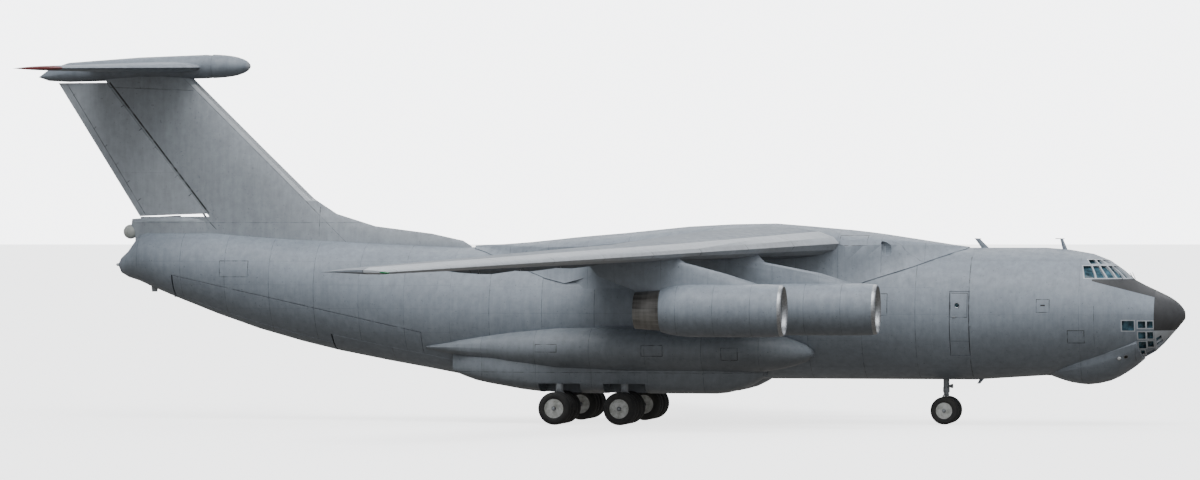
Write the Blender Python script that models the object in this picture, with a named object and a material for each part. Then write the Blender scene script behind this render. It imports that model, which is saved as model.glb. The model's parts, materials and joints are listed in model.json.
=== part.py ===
"""Military transport plane at half its real size, standing parked on its landing gear.

Four jets under a high swept wing, a T-tail, a glazed navigator's nose and a tail ramp.
Metres, +Z up. The nose points along +X and the left wing along +Y.
The origin lies on the ground under the middle of the aircraft.
"""
import math

import bmesh
import bpy
from mathutils import Vector

# Gaps
SEAT = 0.0003
RUNNING_GAP = 0.012
DOOR_GAP = 0.010

# Fuselage form: station, top, widest height, bottom, half width
FUSELAGE_FORM = (
    (-9.30, 3.80, 3.24, 2.71, 0.54),
    (-8.70, 3.81, 3.14, 2.46, 0.62),
    (-7.00, 3.72, 2.86, 1.84, 0.83),
    (-5.25, 3.61, 2.57, 1.39, 1.05),
    (-3.40, 3.52, 2.27, 1.05, 1.28),
    (-2.80, 3.49, 2.19, 0.94, 1.30),
    (-1.50, 3.48, 2.18, 0.88, 1.30),
    (7.60, 3.48, 2.18, 0.88, 1.30),
    (8.92, 3.48, 2.18, 0.97, 1.29),
    (9.86, 3.36, 2.18, 1.09, 1.22),
    (10.19, 3.23, 2.17, 1.15, 1.14),
    (10.46, 3.04, 2.17, 1.20, 1.05),
    (10.68, 2.85, 2.17, 1.26, 0.96),
    (11.08, 2.65, 2.16, 1.46, 0.76),
    (11.38, 2.50, 2.15, 1.77, 0.53),
    (11.52, 2.395, 2.15, 1.93, 0.36),
    (11.60, 2.305, 2.15, 2.03, 0.22),
    (11.64, 2.235, 2.15, 2.08, 0.11),
)
NOSE_TIP = Vector((11.65, 0.0, 2.15))
WALL = 0.05
# Angles of the skin's columns from the top down to the bottom, in degrees
COLUMNS = (0, 11, 22, 33, 45, 57, 69.5, 80, 90, 102, 115, 128.5, 138, 148, 158, 169, 180)
NOSE_JOINT = 6.80
TAIL_JOINT = -2.80
TAIL_END = -9.30
RADOME_JOINT = 11.08
RADOME_FLOOR = 1.87
NOSE_STATIONS = (7.15, 7.54, 8.92, 9.40, 9.86, 10.19, 10.46, 10.68, 10.88, 11.08, 11.24, 11.38, 11.52)
RADOME_STATIONS = (11.16, 11.24, 11.31, 11.38, 11.45, 11.52, 11.57, 11.61, 11.64)

# Windows: heights of the two flight-deck bands, and their panes as angles from straight ahead.
# Navigator's panes: two stations, two heights. Chin panes: two stations, two angles from the top.
FLIGHT_DECK_CENTRE = Vector((9.55, 0.0, 0.0))
FLIGHT_DECK_BAND = (2.89, 3.125)
EYEBROW_BAND = (3.165, 3.245)
FLIGHT_DECK_PANES = ((78, 66), (64, 54), (52, 41), (39, 28), (26, 14.5), (12.5, 1.2))
EYEBROW_PANES = ((66, 52), (49, 36), (33, 21), (18, 6))
NAVIGATOR_PANES = (
    (10.48, 10.71, 1.87, 2.06),
    (10.78, 10.92, 1.92, 2.05),
    (10.95, 11.06, 1.92, 2.05),
    (10.78, 10.92, 1.71, 1.84),
    (10.95, 11.06, 1.71, 1.84),
    (10.78, 10.92, 1.52, 1.65),
    (10.95, 11.06, 1.55, 1.66),
    (10.81, 10.885, 1.40, 1.48),
)
CHIN_PANES = (
    (11.11, 11.34, 159, 177),
    (11.11, 11.23, 145.5, 156),
    (11.11, 11.21, 131, 142.5),
    (10.90, 11.06, 158, 177),
)
PORTHOLE = (7.30, 2.36, 0.045)

# Chin radome: station, bottom, widest height, half width, forward lean of its lower half
CHIN_FORM = (
    (8.92, 1.010, 0.990, 0.12, 0.0),
    (9.15, 0.920, 1.075, 0.42, 0.0),
    (9.43, 0.835, 1.170, 0.62, 0.0),
    (9.76, 0.795, 1.285, 0.73, 0.0),
    (10.19, 0.870, 1.430, 0.79, 0.0),
    (10.46, 1.040, 1.525, 0.80, 0.12),
    (10.74, 1.295, 1.615, 0.775, 0.35),
)
CHIN_STATIONS = (8.92, 9.03, 9.15, 9.29, 9.43, 9.60, 9.76, 9.97, 10.19, 10.33, 10.46, 10.60, 10.74)
CHIN_SIDES = 24
CHIN_LEAST_DEPTH = 0.02

# Blade antennas: foot station and height, tip station and height, chord, half thickness
ANTENNAS = (
    (7.83, 3.44, 7.61, 3.66, 0.16, 0.012),
    (9.35, 3.42, 9.25, 3.66, 0.10, 0.014),
    (7.72, 0.92, 7.62, 0.80, 0.10, 0.012),
)

# Entrance doors
DOOR_AFT = 7.15
DOOR_FRONT = 7.54
DOOR_TOP_ANGLE = 69.5
DOOR_BOTTOM_ANGLE = 128.5
DOOR_SWING_AXIS_Y = 1.305
DOOR_HINGE_HEIGHTS = (1.95, 2.35)
DOOR_HINGE_Y = 1.272
DOOR_HINGE_BLOCK = (0.04, 0.02, 0.07)
DOORWAY_SKIN_RADIUS = 1.30

# Tail opening: the seam of the side doors is a straight line
SEAM_FRONT = (-3.40, 1.80)
SEAM_AFT = (-8.70, 2.93)
RAMP_EDGE = 1.375
CENTRE_DOOR_EDGE = 1.56
EDGE_LEAN = 0.06
RAMP_FRONT = -2.812
RAMP_AFT = -5.32
TAIL_STATIONS = (-3.40, -4.30, -5.25, -6.10, -7.00, -7.85, -8.70)
SIDE_DOOR_STATIONS = (-3.41, -4.30, -5.35, -6.10, -7.00, -7.85, -8.672)
SIDE_DOOR_TOP = 1.010
CENTRE_DOOR_AFT = -8.67
CENTRE_DOOR_THICKNESS = 0.06
CENTRE_DOOR_LIP = 0.035
HINGE_BLOCK_Y = 0.08
HINGE_BLOCK_HALF_WIDTH = 0.05
RAMP_HINGE_BLOCK = (0.006, 0.04)
CENTRE_DOOR_HINGE_BLOCK = (0.014, 0.045)
SIDE_DOOR_BLOCK_SPAN = (0.46, 0.54)
SIDE_DOOR_BLOCK_HEIGHT = 0.05
HINGE_OUT = 0.02
RAMP_SLOPE = 0.20
LOWER_COLUMNS = (1.0, 1.13, 1.25, RAMP_EDGE, CENTRE_DOOR_EDGE, 1.70, 1.85, 2.0)

# Tail cap: station, top, widest height, bottom, half width
TAIL_CAP_FORM = (
    (-9.3003, 3.80, 3.24, 2.71, 0.54),
    (-9.50, 3.74, 3.24, 2.80, 0.47),
    (-9.72, 3.42, 3.18, 2.87, 0.34),
    (-9.88, 3.28, 3.14, 2.96, 0.18),
)
TAIL_CAP_TIP = (-9.97, 0.0, 3.13)
TAIL_CAP_SIDES = 24

# Cargo floor
FLOOR_TOP = 1.30
FLOOR_THICKNESS = 0.08
FLOOR_FRONT = 6.70
FLOOR_HALF_WIDTH = 0.7943
FLOOR_AFT_HALF_WIDTH = 0.725

# Wing
ROOT_Y = 1.20
KINK_Y = 4.90
TIP_Y = 12.62
ROOT_LEADING_EDGE = 4.98
LEADING_EDGE_SWEEP = math.radians(29.5)
ROOT_TRAILING_EDGE = 0.02
KINK_TRAILING_EDGE = -0.11
TIP_TRAILING_EDGE = -2.66
ROOT_HEIGHT = 3.56
ANHEDRAL = math.radians(2.5)
ROOT_INCIDENCE = math.radians(2.5)
ROOT_THICKNESS = 0.13
TIP_THICKNESS = 0.10
CHORD_STEPS = 8

# Flaps and ailerons, along the span
INNER_FLAP = (1.52, 4.62)
OUTER_FLAP = (5.05, 8.95)
AILERON = (9.15, 11.85)
FLAP_SHARE = 0.26
AILERON_SHARE = 0.26
# A control surface's round nose: share of the section's half thickness, and what is added to it
NOSE_FULLNESS = 1.13
NOSE_MARGIN = 0.002
STUB_LENGTH = 0.06
STUB_RADIUS = 0.022
PIVOT_BLOCK = (0.05, 0.02, 0.008, 0.05)
INNER_PIVOT_DROP = 0.30
OUTER_PIVOT_DROP = 0.25
TRACK_HALF_WIDTH = 0.075
INNER_TRACKS = (2.15, 3.95)
OUTER_TRACKS = (5.75, 7.05, 8.35)

# Flap-track fairing: offset behind the flap's nose, share of full depth, share of full width
TRACK_FORM = ((-0.85, 0.10, 0.20), (-0.60, 0.55, 0.70), (-0.20, 0.94, 1.00), (0.0, 0.985, 1.00),
              (0.40, 0.85, 0.95), (0.80, 0.55, 0.65), (1.15, 0.22, 0.15))

# Fairing over the fuselage that carries the wings. Middle: station, top, upper edge of its flat sides.
# Ends: station, share of the middle's full rise, angle of the lower edge on the skin in degrees.
CROWN_FORM = (
    (5.10, 3.83, 3.50),
    (4.75, 3.86, 3.70),
    (4.20, 3.91, 3.845),
    (3.57, 3.96, 3.885),
    (2.70, 3.945, 3.85),
    (1.82, 3.90, 3.735),
    (0.51, 3.77, 3.56),
    (-0.10, 3.72, 3.50),
)
CROWN_FRONT = ((7.40, 0.05, 11), (7.08, 0.18, 26), (6.75, 0.33, 36), (6.42, 0.48, 44.5), (6.10, 0.62, 50.5),
               (5.78, 0.76, 56), (5.45, 0.886, 61.5))
CROWN_REAR = ((-0.50, 0.85, 63), (-0.90, 0.67, 58), (-1.40, 0.46, 47), (-1.90, 0.29, 34), (-2.25, 0.18, 22),
              (-2.50, 0.10, 12))
CROWN_EDGE = 67.0
CROWN_LIP = 0.015
CROWN_ROOT = 0.12

# Engines: distance out, intake lip station, height
ENGINES = (("inner", 3.175, 6.00, 2.30), ("outer", 5.30, 4.50, 2.30))
NACELLE_LENGTH = 2.84
NACELLE_RADIUS = 0.50
DUCT_RADIUS = 0.385
NOZZLE_RADIUS = 0.335
FAN_DEPTH = 0.42
FAN_WALL_DEPTH = 0.56
FAN_BLADES = 15
PYLON_HALF_THICKNESS = 0.075
ROUND_SIDES = 20

# Tail
FIN_LEADING_EDGE = ((3.30, -4.62), (4.40, -5.81), (6.90, -8.37))
FIN_TRAILING_EDGE = ((3.30, -9.00), (4.10, -9.50), (6.90, -11.27))
RUDDER_HINGE = ((4.10, -8.13), (6.79, -10.23))
FIN_THICKNESS = 0.11
RUDDER_BOTTOM = 4.168
RUDDER_TOP = 6.83
RUDDER_FOOT_DROOP = 0.05
RUDDER_ROOM = (4.105, 7.20)
RUDDER_PIN_RADIUS = 0.020
RUDDER_PIN_SIDES = 16
RUDDER_PIN_REACH = (0.10, 0.20)
RUDDER_SOCKET_SPARE = 0.005
BULLET = (
    (-7.27, 7.150, 0.105),
    (-7.55, 7.150, 0.195),
    (-8.10, 7.145, 0.245),
    (-9.50, 7.110, 0.235),
    (-11.00, 7.045, 0.200),
    (-11.42, 6.990, 0.120),
)
BULLET_SIDES = 16
BULLET_NOSE = Vector((-7.19, 0.0, 7.15))
BULLET_TAIL = Vector((-11.65, 0.0, 6.95))
STABILISER_TIP_Y = 4.10
STABILISER_LEADING_EDGE = (-8.06, -10.08)
STABILISER_TRAILING_EDGE = (-10.45, -10.93)
STABILISER_HEIGHT = (7.13, 6.99)
STABILISER_THICKNESS = 0.10
ELEVATOR = (0.42, 3.95)
ELEVATOR_SHARE = 0.27

# Dorsal fillet: station, top, half width; tail box: station, half width, top
DORSAL_FORM = ((-2.62, 3.51, 0.03), (-2.80, 3.62, 0.07), (-3.44, 3.76, 0.11), (-4.61, 3.91, 0.14),
               (-5.41, 4.16, 0.16), (-5.90, 4.48, 0.15))
TAIL_BOX_REAR = (-9.58, 3.80)
TAIL_BOX_FORM = ((-7.90, 0.12, 4.06), (-8.60, 0.22, 4.10), (-9.25, 0.18, 4.09), (-9.66, 0.09, 4.06))

# Landing gear
MAIN_TYRE_RADIUS = 0.325
MAIN_TYRE_WIDTH = 0.24
MAIN_UNITS = (("front", 0.75), ("rear", -0.55))
MAIN_LEG_Y = 1.40
MAIN_LEG_RADIUS = 0.075
WELL_ROOF = 0.80
WELL_HALF_LENGTH = 0.42
WELL_SIDES = (0.64, 2.30)
NOSE_TYRE_RADIUS = 0.275
NOSE_TYRE_WIDTH = 0.165
NOSE_GEAR_X = 6.95
NOSE_LEG_RADIUS = 0.070
NOSE_LEG_TOP = 1.10
WHEEL_SIDE_GAP = 0.012
STEERING_TOP = 0.62
AXLE_RADIUS = 0.035
TYRE_SIDES = 16
TYRE_SPACING = 0.06
SLEEVE_RADIUS = 0.10

# Gear fairings
# Upper fairing: station, half height, half width, middle height, middle distance out
SPONSON_FORM = (
    (-3.33, 0.03, 0.04, 1.50, 0.99),
    (-2.60, 0.17, 0.22, 1.50, 1.06),
    (-1.60, 0.33, 0.42, 1.48, 1.14),
    (-0.60, 0.43, 0.57, 1.47, 1.20),
    (0.80, 0.46, 0.66, 1.465, 1.22),
    (2.60, 0.46, 0.66, 1.465, 1.22),
    (3.10, 0.445, 0.63, 1.46, 1.21),
    (3.50, 0.40, 0.56, 1.445, 1.19),
    (3.85, 0.33, 0.46, 1.43, 1.16),
    (4.12, 0.25, 0.35, 1.42, 1.13),
    (4.32, 0.17, 0.24, 1.41, 1.09),
    (4.43, 0.09, 0.13, 1.40, 1.07),
    (4.46, 0.03, 0.04, 1.40, 1.06),
)
# Lower fairing: station, bottom, half width
BELLY_FORM = (
    (-2.79, 1.020, 0.24),
    (-2.30, 0.840, 0.50),
    (-1.73, 0.730, 0.66),
    (-0.95, 0.612, 0.73),
    (-0.40, 0.595, 0.74),
    (2.49, 0.595, 0.74),
    (3.05, 0.700, 0.62),
    (3.47, 0.930, 0.30),
)
BELLY_STATIONS = (-2.79, -2.55, -2.30, -2.02, -1.73, -1.34, -0.95, -0.40,
                  2.49, 2.70, 2.90, 3.08, 3.24, 3.38, 3.47)
BELLY_MIDDLE = (0.78, 1.10)
BELLY_ROOT = 0.35
GEAR_FAIRING_SIDES = 16

# Finishes: colour, roughness, metallic
FINISHES = {
    "grey paint": ("8F959B", 0.55, 0.0),
    "dark radome": ("4A4B4D", 0.60, 0.0),
    "glass": ("2A4650", 0.08, 0.0),
    "steel": ("5A5754", 0.40, 0.9),
    "aluminium": ("A9ADB0", 0.35, 0.9),
    "rubber": ("1E1F20", 0.85, 0.0),
    "floor": ("6C6F70", 0.75, 0.2),
}


def clear_scene():
    """Remove every object of the open scene."""
    for item in list(bpy.data.objects):
        bpy.data.objects.remove(item, do_unlink=True)


def linear(channel):
    """Turn one display colour channel to linear light."""
    if channel <= 0.04045:
        return channel / 12.92
    return ((channel + 0.055) / 1.055) ** 2.4


def material_for(name, finish):
    """Make the piece's own material from a named finish."""
    code, roughness, metallic = FINISHES[finish]
    channels = [int(code[k:k + 2], 16) / 255 for k in (0, 2, 4)]
    material = bpy.data.materials.new(name)
    material.use_nodes = True
    shader = material.node_tree.nodes["Principled BSDF"]
    shader.inputs["Base Color"].default_value = [linear(c) for c in channels] + [1.0]
    shader.inputs["Roughness"].default_value = roughness
    shader.inputs["Metallic"].default_value = metallic
    material.diffuse_color = [linear(c) for c in channels] + [1.0]
    return material


def mesh_from(name, verts, faces, origin=Vector((0.0, 0.0, 0.0)), sharp=35.0):
    """Make a mesh with its faces pointing out, its points measured from origin."""
    mesh = bpy.data.meshes.new(name)
    mesh.from_pydata([Vector(v) - origin for v in verts], [], faces)
    work = bmesh.new()
    work.from_mesh(mesh)
    bmesh.ops.recalc_face_normals(work, faces=work.faces)
    work.to_mesh(mesh)
    work.free()
    mesh.shade_smooth()
    mesh.set_sharp_from_angle(angle=math.radians(sharp))
    return mesh


def piece(name, shape, finish, origin=(0.0, 0.0, 0.0), sharp=35.0):
    """Add one named piece of the aircraft, its origin on its joint axis if it moves."""
    origin = Vector(origin)
    mesh = mesh_from(name, shape[0], shape[1], origin, sharp)
    mesh.materials.append(material_for(name, finish))
    item = bpy.data.objects.new(name, mesh)
    item.location = origin
    bpy.context.scene.collection.objects.link(item)
    return item


def guide(name, shape, offset=(0.0, 0.0, 0.0)):
    """Add a hidden shape that only cuts or joins other pieces."""
    item = bpy.data.objects.new(name, mesh_from(name, shape[0], shape[1]))
    item.location = offset
    item.hide_render = True
    item.display_type = "WIRE"
    bpy.context.scene.collection.objects.link(item)
    return item


def combine(item, other, operation):
    """Cut, join or trim a piece with a guide."""
    modifier = item.modifiers.new(other.name, "BOOLEAN")
    modifier.operation = operation
    modifier.solver = "EXACT"
    modifier.object = other


def curve(points, x):
    """Smooth value at x through (x, value) points, with no overshoot."""
    if x <= points[0][0]:
        return points[0][1]
    if x >= points[-1][0]:
        return points[-1][1]
    slopes = [(b[1] - a[1]) / (b[0] - a[0]) for a, b in zip(points, points[1:])]
    tangents = [slopes[0]]
    for before, after in zip(slopes, slopes[1:]):
        tangents.append(0.0 if before * after <= 0 else 2 * before * after / (before + after))
    tangents.append(slopes[-1])
    k = max(i for i in range(len(points) - 1) if points[i][0] <= x)
    width = points[k + 1][0] - points[k][0]
    t = (x - points[k][0]) / width
    low, high = points[k][1], points[k + 1][1]
    return (
        low * (1 + 2 * t) * (1 - t) ** 2
        + width * tangents[k] * t * (1 - t) ** 2
        + high * t * t * (3 - 2 * t)
        - width * tangents[k + 1] * t * t * (1 - t)
    )


def blend(a, b, t):
    """Value part of the way from a to b."""
    return a + (b - a) * t


def between(points, z):
    """Straight-line value at z through (z, value) points, carried on past both ends."""
    for (z0, v0), (z1, v1) in zip(points, points[1:]):
        if z <= z1 or z1 == points[-1][0]:
            return blend(v0, v1, (z - z0) / (z1 - z0))
    return points[-1][1]


def join(*shapes):
    """Put several closed shapes into one list of points and faces."""
    verts, faces = [], []
    for some_verts, some_faces in shapes:
        start = len(verts)
        verts += list(some_verts)
        faces += [[start + k for k in face] for face in some_faces]
    return verts, faces


def mirrored(shape):
    """The same shape on the other side of the aircraft."""
    return [Vector((v[0], -v[1], v[2])) for v in shape[0]], shape[1]


def on_side(shape, side):
    """The left-hand shape, or its mirror image on the right."""
    return shape if side > 0 else mirrored(shape)


def loft(rings):
    """Closed body through rings of points; a ring of one point closes as a tip."""
    verts, faces, starts = [], [], []
    for ring in rings:
        starts.append(len(verts))
        verts += list(ring)
    for k in range(len(rings) - 1):
        here, there = starts[k], starts[k + 1]
        count, next_count = len(rings[k]), len(rings[k + 1])
        for j in range(max(count, next_count)):
            m = (j + 1) % max(count, next_count)
            if count == 1:
                faces.append([here, there + j, there + m])
            elif next_count == 1:
                faces.append([here + j, here + m, there])
            else:
                faces.append([here + j, here + m, there + m])
                faces.append([here + j, there + m, there + j])
    if len(rings[0]) > 1:
        faces.append(list(range(starts[0], starts[0] + len(rings[0]))))
    if len(rings[-1]) > 1:
        faces.append(list(range(starts[-1], starts[-1] + len(rings[-1]))))
    return verts, faces


def shell(outer_rings, inner_rings, keep=None, wrap=True):
    """Closed wall between two grids of points, left open where keep says no."""
    rows = len(outer_rings) - 1
    columns = len(outer_rings[0]) if wrap else len(outer_rings[0]) - 1
    kept = {(i, j) for i in range(rows) for j in range(columns) if keep is None or keep(i, j)}
    verts, index, faces = [], {}, []

    def vert(layer, i, j):
        key = (layer, i, j % len(outer_rings[0]))
        if key not in index:
            index[key] = len(verts)
            verts.append((inner_rings, outer_rings)[layer][i][key[2]])
        return index[key]

    for i, j in sorted(kept):
        corners = [(i, j), (i + 1, j), (i + 1, j + 1), (i, j + 1)]
        for half in ((0, 1, 2), (0, 2, 3)):
            faces.append([vert(1, *corners[c]) for c in half])
            faces.append([vert(0, *corners[c]) for c in reversed(half)])
        neighbours = [(i, j - 1), (i + 1, j), (i, j + 1), (i - 1, j)]
        for k, (row, column) in enumerate(neighbours):
            beside = (row, column % columns) if wrap else (row, column)
            if beside not in kept:
                a, b = corners[k], corners[(k + 1) % 4]
                faces.append([vert(1, *b), vert(1, *a), vert(0, *a), vert(0, *b)])
    return verts, faces


def turned(profile, centre, axis, sides, closed=False):
    """Body turned about an axis; profile holds (along, radius) points, closed for a ring."""
    axis = Vector(axis).normalized()
    across = axis.orthogonal().normalized()
    other = axis.cross(across)
    rings = []
    for along, radius in profile:
        base = Vector(centre) + axis * along
        if radius == 0:
            rings.append([base])
            continue
        turns = [2 * math.pi * k / sides for k in range(sides)]
        rings.append([base + (across * math.cos(t) + other * math.sin(t)) * radius for t in turns])
    if not closed:
        return loft(rings)
    verts = [point for ring in rings for point in ring]
    faces = []
    for k in range(len(rings)):
        here, there = k * sides, ((k + 1) % len(rings)) * sides
        for j in range(sides):
            m = (j + 1) % sides
            faces.append([here + j, here + m, there + m, there + j])
    return verts, faces


def rod(start, end, radius, sides=12):
    """Plain round rod between two points."""
    start, end = Vector(start), Vector(end)
    return turned([(0, radius), ((end - start).length, radius)], start, end - start, sides)


def block(low, high):
    """Plain block between two opposite corners."""
    corners = ((low[0], low[1]), (high[0], low[1]), (high[0], high[1]), (low[0], high[1]))
    return loft([[Vector((x, y, z)) for x, y in corners] for z in (low[2], high[2])])


# Fuselage

def form_row(form, x):
    """Smooth row of a form table at a station, without the station itself."""
    return [curve([(row[0], row[k]) for row in form], x) for k in range(1, len(form[0]))]


def form_at(x):
    """Top, widest height, bottom and half width of the fuselage at a station."""
    return form_row(FUSELAGE_FORM, x)


def skin(x, angle, inward=0.0):
    """Point of the fuselage skin at a station and an angle from the top towards the left."""
    top, middle, bottom, half_width = form_at(x)
    rise = top - middle if math.cos(angle) >= 0 else middle - bottom
    return Vector((
        x,
        (half_width - inward) * math.sin(angle),
        middle + (rise - inward) * math.cos(angle),
    ))


def all_round(angles):
    """A half list of angles in degrees, made into a full turn in radians."""
    half = [math.radians(a) for a in angles]
    return half + [-a for a in reversed(half[1:-1])]


def skin_ring(x, inward=0.0, angles=COLUMNS):
    """One closed ring of skin points."""
    return [skin(x, a, inward) for a in all_round(angles)]


def seam_height(x):
    """Height of the tail doors' seam."""
    return between((SEAM_AFT, SEAM_FRONT), x)


def tail_angle(x, column):
    """Angle from the top: column 0 is the top, 1 the seam and 2 the bottom."""
    middle, bottom = form_at(x)[1:3]
    reach = min(1.0, max(-1.0, (seam_height(x) - middle) / (middle - bottom)))
    seam = math.acos(reach)
    if column <= 1:
        return seam * column
    return blend(seam, math.pi, column - 1)


def tail_ring(x, columns, inward=0.0):
    """Ring of tail skin points, both sides, from the top round the left."""
    left = [skin(x, tail_angle(x, c), inward) for c in columns]
    right = [Vector((p.x, -p.y, p.z)) for p in reversed(left[1:-1])]
    return left + right


def upper_columns():
    """Tail columns from the top down to the seam."""
    return [k / 9 for k in range(9)]


def leaned(column):
    """Column on the wall's inner side; lower door edges lean so that the ramp and centre door can pass."""
    return column - EDGE_LEAN if column in (RAMP_EDGE, CENTRE_DOOR_EDGE) else column


def fuselage_blanks():
    """Hidden outer forms of the tail and of the rest, a seat gap proud of the skin."""
    columns = upper_columns() + list(LOWER_COLUMNS)
    tail_stations = [TAIL_JOINT + WALL, TAIL_JOINT - SEAT, *TAIL_STATIONS, TAIL_END]
    tail = loft([tail_ring(x, columns, -SEAT) for x in tail_stations])
    front_stations = [TAIL_JOINT, -1.50, 2.50, NOSE_JOINT, *NOSE_STATIONS]
    front = loft([skin_ring(x, -SEAT) for x in front_stations] + [[NOSE_TIP]])
    return guide("tail_form", tail), guide("front_form", front)


def line_frame(start, end, aft):
    """Directions along a line, aft and up, all square to each other."""
    along = (end - start).normalized()
    aft = (Vector(aft) - along * along.dot(aft)).normalized()
    up = along.cross(aft)
    return along, aft, up if up.z > 0 else -up


def prism(start, end, start_profile, end_profile, aft):
    """Body between two ends square to its own axis; profiles hold (aft, up) points."""
    start, end = Vector(start), Vector(end)
    aft, up = line_frame(start, end, aft)[1:]
    rings = []
    for place, profile in ((start, start_profile), (end, end_profile)):
        rings.append([place + aft * a + up * u for a, u in profile])
    return loft(rings)


# Nose

def band_pane(pane, band):
    """Cutter for one pane of a window band that wraps round the flight deck."""
    corners = []
    for angle, reach in ((pane[0], 0.30), (pane[1], 0.30), (pane[1], 1.60), (pane[0], 1.60)):
        turn = math.radians(angle)
        corners.append(FLIGHT_DECK_CENTRE + Vector((math.cos(turn), math.sin(turn), 0)) * reach)
    return loft([[Vector((c.x, c.y, z)) for c in corners] for z in band])


def chin_pane(x0, x1, low_angle, high_angle):
    """Cutter for one pane in the lower front of the nose."""
    corners = ((x0, low_angle), (x1, low_angle), (x1, high_angle), (x0, high_angle))
    rings = []
    for inward in (2 * WALL, -WALL):
        rings.append([skin(x, math.radians(a), inward) for x, a in corners])
    return loft(rings)


def window_cutters():
    """All window openings of the nose, both sides."""
    panes = [band_pane(p, FLIGHT_DECK_BAND) for p in FLIGHT_DECK_PANES]
    panes += [band_pane(p, EYEBROW_BAND) for p in EYEBROW_PANES]
    panes += [block((x0, 0.25, z0), (x1, 1.60, z1)) for x0, x1, z0, z1 in NAVIGATOR_PANES]
    panes += [chin_pane(*p) for p in CHIN_PANES]
    return guide("window_cutters", join(*panes, *[mirrored(p) for p in panes]))


def antennas():
    """Blade antennas above and below the nose section."""
    shapes = []
    for x0, z0, x1, z1, chord, half in ANTENNAS:
        rings = []
        for x, z, size in ((x0, z0, chord), (x1, z1, chord * 0.6)):
            rings.append([Vector((x, 0, z)), Vector((x - size / 2, half, z)),
                          Vector((x - size, 0, z)), Vector((x - size / 2, -half, z))])
        shapes.append(loft(rings))
    return guide("antenna_blades", join(*shapes))


def nose_section():
    """Nose wall with doorways and window openings; its lower front lies under the radome."""
    stations = (NOSE_JOINT + SEAT, *NOSE_STATIONS)
    outer = [skin_ring(x) for x in stations]
    inner = [skin_ring(x, WALL) for x in stations]
    half = len(COLUMNS) - 1
    doorway = stations.index(DOOR_AFT)

    def keep(i, j):
        column = j if j < half else 2 * half - 1 - j
        in_door = DOOR_TOP_ANGLE <= COLUMNS[column] < DOOR_BOTTOM_ANGLE
        return not (i == doorway and in_door)

    item = piece("nose_section", shell(outer, inner, keep), "grey paint")
    room = block((RADOME_JOINT, -1.5, RADOME_FLOOR), (12.0, 1.5, 3.5))
    combine(item, guide("radome_room", room), "DIFFERENCE")
    front = DOOR_FRONT - DOOR_GAP + 1.5 * SEAT
    length, half, tall = DOOR_HINGE_BLOCK
    blocks = []
    for y in (DOOR_HINGE_Y, -DOOR_HINGE_Y):
        blocks += [block((front, y - half, z), (DOOR_FRONT + length, y + half, z + tall))
                   for z in DOOR_HINGE_HEIGHTS]
    combine(item, guide("door_hinge_blocks", join(*blocks)), "UNION")
    combine(item, window_cutters(), "DIFFERENCE")
    combine(item, antennas(), "UNION")


def nose_radome():
    """Solid radome that closes the nose above the navigator's glazing."""
    stations = [RADOME_JOINT + SEAT, *RADOME_STATIONS]
    item = piece("nose_radome", loft([skin_ring(x) for x in stations] + [[NOSE_TIP]]), "dark radome")
    below = block((RADOME_JOINT - 0.5, -1.5, 0.5), (12.0, 1.5, RADOME_FLOOR + SEAT))
    combine(item, guide("radome_floor", below), "DIFFERENCE")


def chin_radome(front_form):
    """Smooth bulge under the nose, seated on the skin."""
    rings = []
    for x in CHIN_STATIONS:
        bottom, middle, half_width, lean = form_row(CHIN_FORM, x)
        drop = max(middle - bottom, CHIN_LEAST_DEPTH)
        ring = []
        for k in range(CHIN_SIDES):
            turn = 2 * math.pi * k / CHIN_SIDES
            height = drop * math.cos(turn)
            ring.append(Vector((x - lean * min(height, 0.0), half_width * math.sin(turn), middle + height)))
        rings.append(ring)
    item = piece("chin_radome", loft(rings), "grey paint")
    combine(item, front_form, "DIFFERENCE")


def liner(name, stations, keep):
    """Thin glazing just inside the nose wall, on the wall's own grid."""
    outer = [skin_ring(x, WALL + 2 * SEAT) for x in stations]
    inner = [skin_ring(x, WALL + 0.012) for x in stations]
    half = len(COLUMNS) - 1

    def keep_column(i, j):
        column = j if j < half else 2 * half - 1 - j
        return keep(stations[i], COLUMNS[column], COLUMNS[column + 1])

    piece(name, shell(outer, inner, keep_column), "glass")


def nose_glass():
    """Glazing of the flight deck and of the navigator's station."""
    liner("flight_deck_glass", (9.40, 9.86, 10.19, 10.46, 10.68, 10.88), lambda x, a, b: b <= 69.5)
    lowest = {11.24: 158, 11.08: 128.5}
    liner("navigator_glass", (10.46, 10.68, 10.88, 11.08, 11.24, 11.38),
          lambda x, a, b: a >= lowest.get(x, 90))


def entrance_door(side, name):
    """Door in the nose wall, hinged along its front edge."""
    top = math.radians(DOOR_TOP_ANGLE)
    bottom = math.radians(DOOR_BOTTOM_ANGLE)
    margin = DOOR_GAP / DOORWAY_SKIN_RADIUS
    angles = [math.radians(a) for a in COLUMNS if DOOR_TOP_ANGLE < a < DOOR_BOTTOM_ANGLE]
    angles = [top + margin, *angles, bottom - margin]
    stations = (DOOR_AFT + DOOR_GAP, DOOR_FRONT - DOOR_GAP)
    outer = [[skin(x, a) for a in angles] for x in stations]
    inner = [[skin(x, a, WALL) for a in angles] for x in stations]
    shape = on_side(shell(outer, inner, wrap=False), side)
    axis = (DOOR_FRONT - DOOR_GAP, side * DOOR_SWING_AXIS_Y, 2.0)
    item = piece(name, shape, "grey paint", axis)
    x, z, radius = PORTHOLE
    window = rod((x, 1.0, z), (x, 1.5, z), radius)
    combine(item, guide(name + "_window", on_side(window, side)), "DIFFERENCE")


# Centre and tail of the fuselage

def hinge_blocks(rear, front, bottom, heights):
    """Two hinge blocks inside the skin, one each side of the middle."""
    low, high = bottom + heights[0], bottom + heights[1]
    half = HINGE_BLOCK_HALF_WIDTH
    return [block((rear, y - half, low), (front, y + half, high)) for y in (-HINGE_BLOCK_Y, HINGE_BLOCK_Y)]


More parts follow.
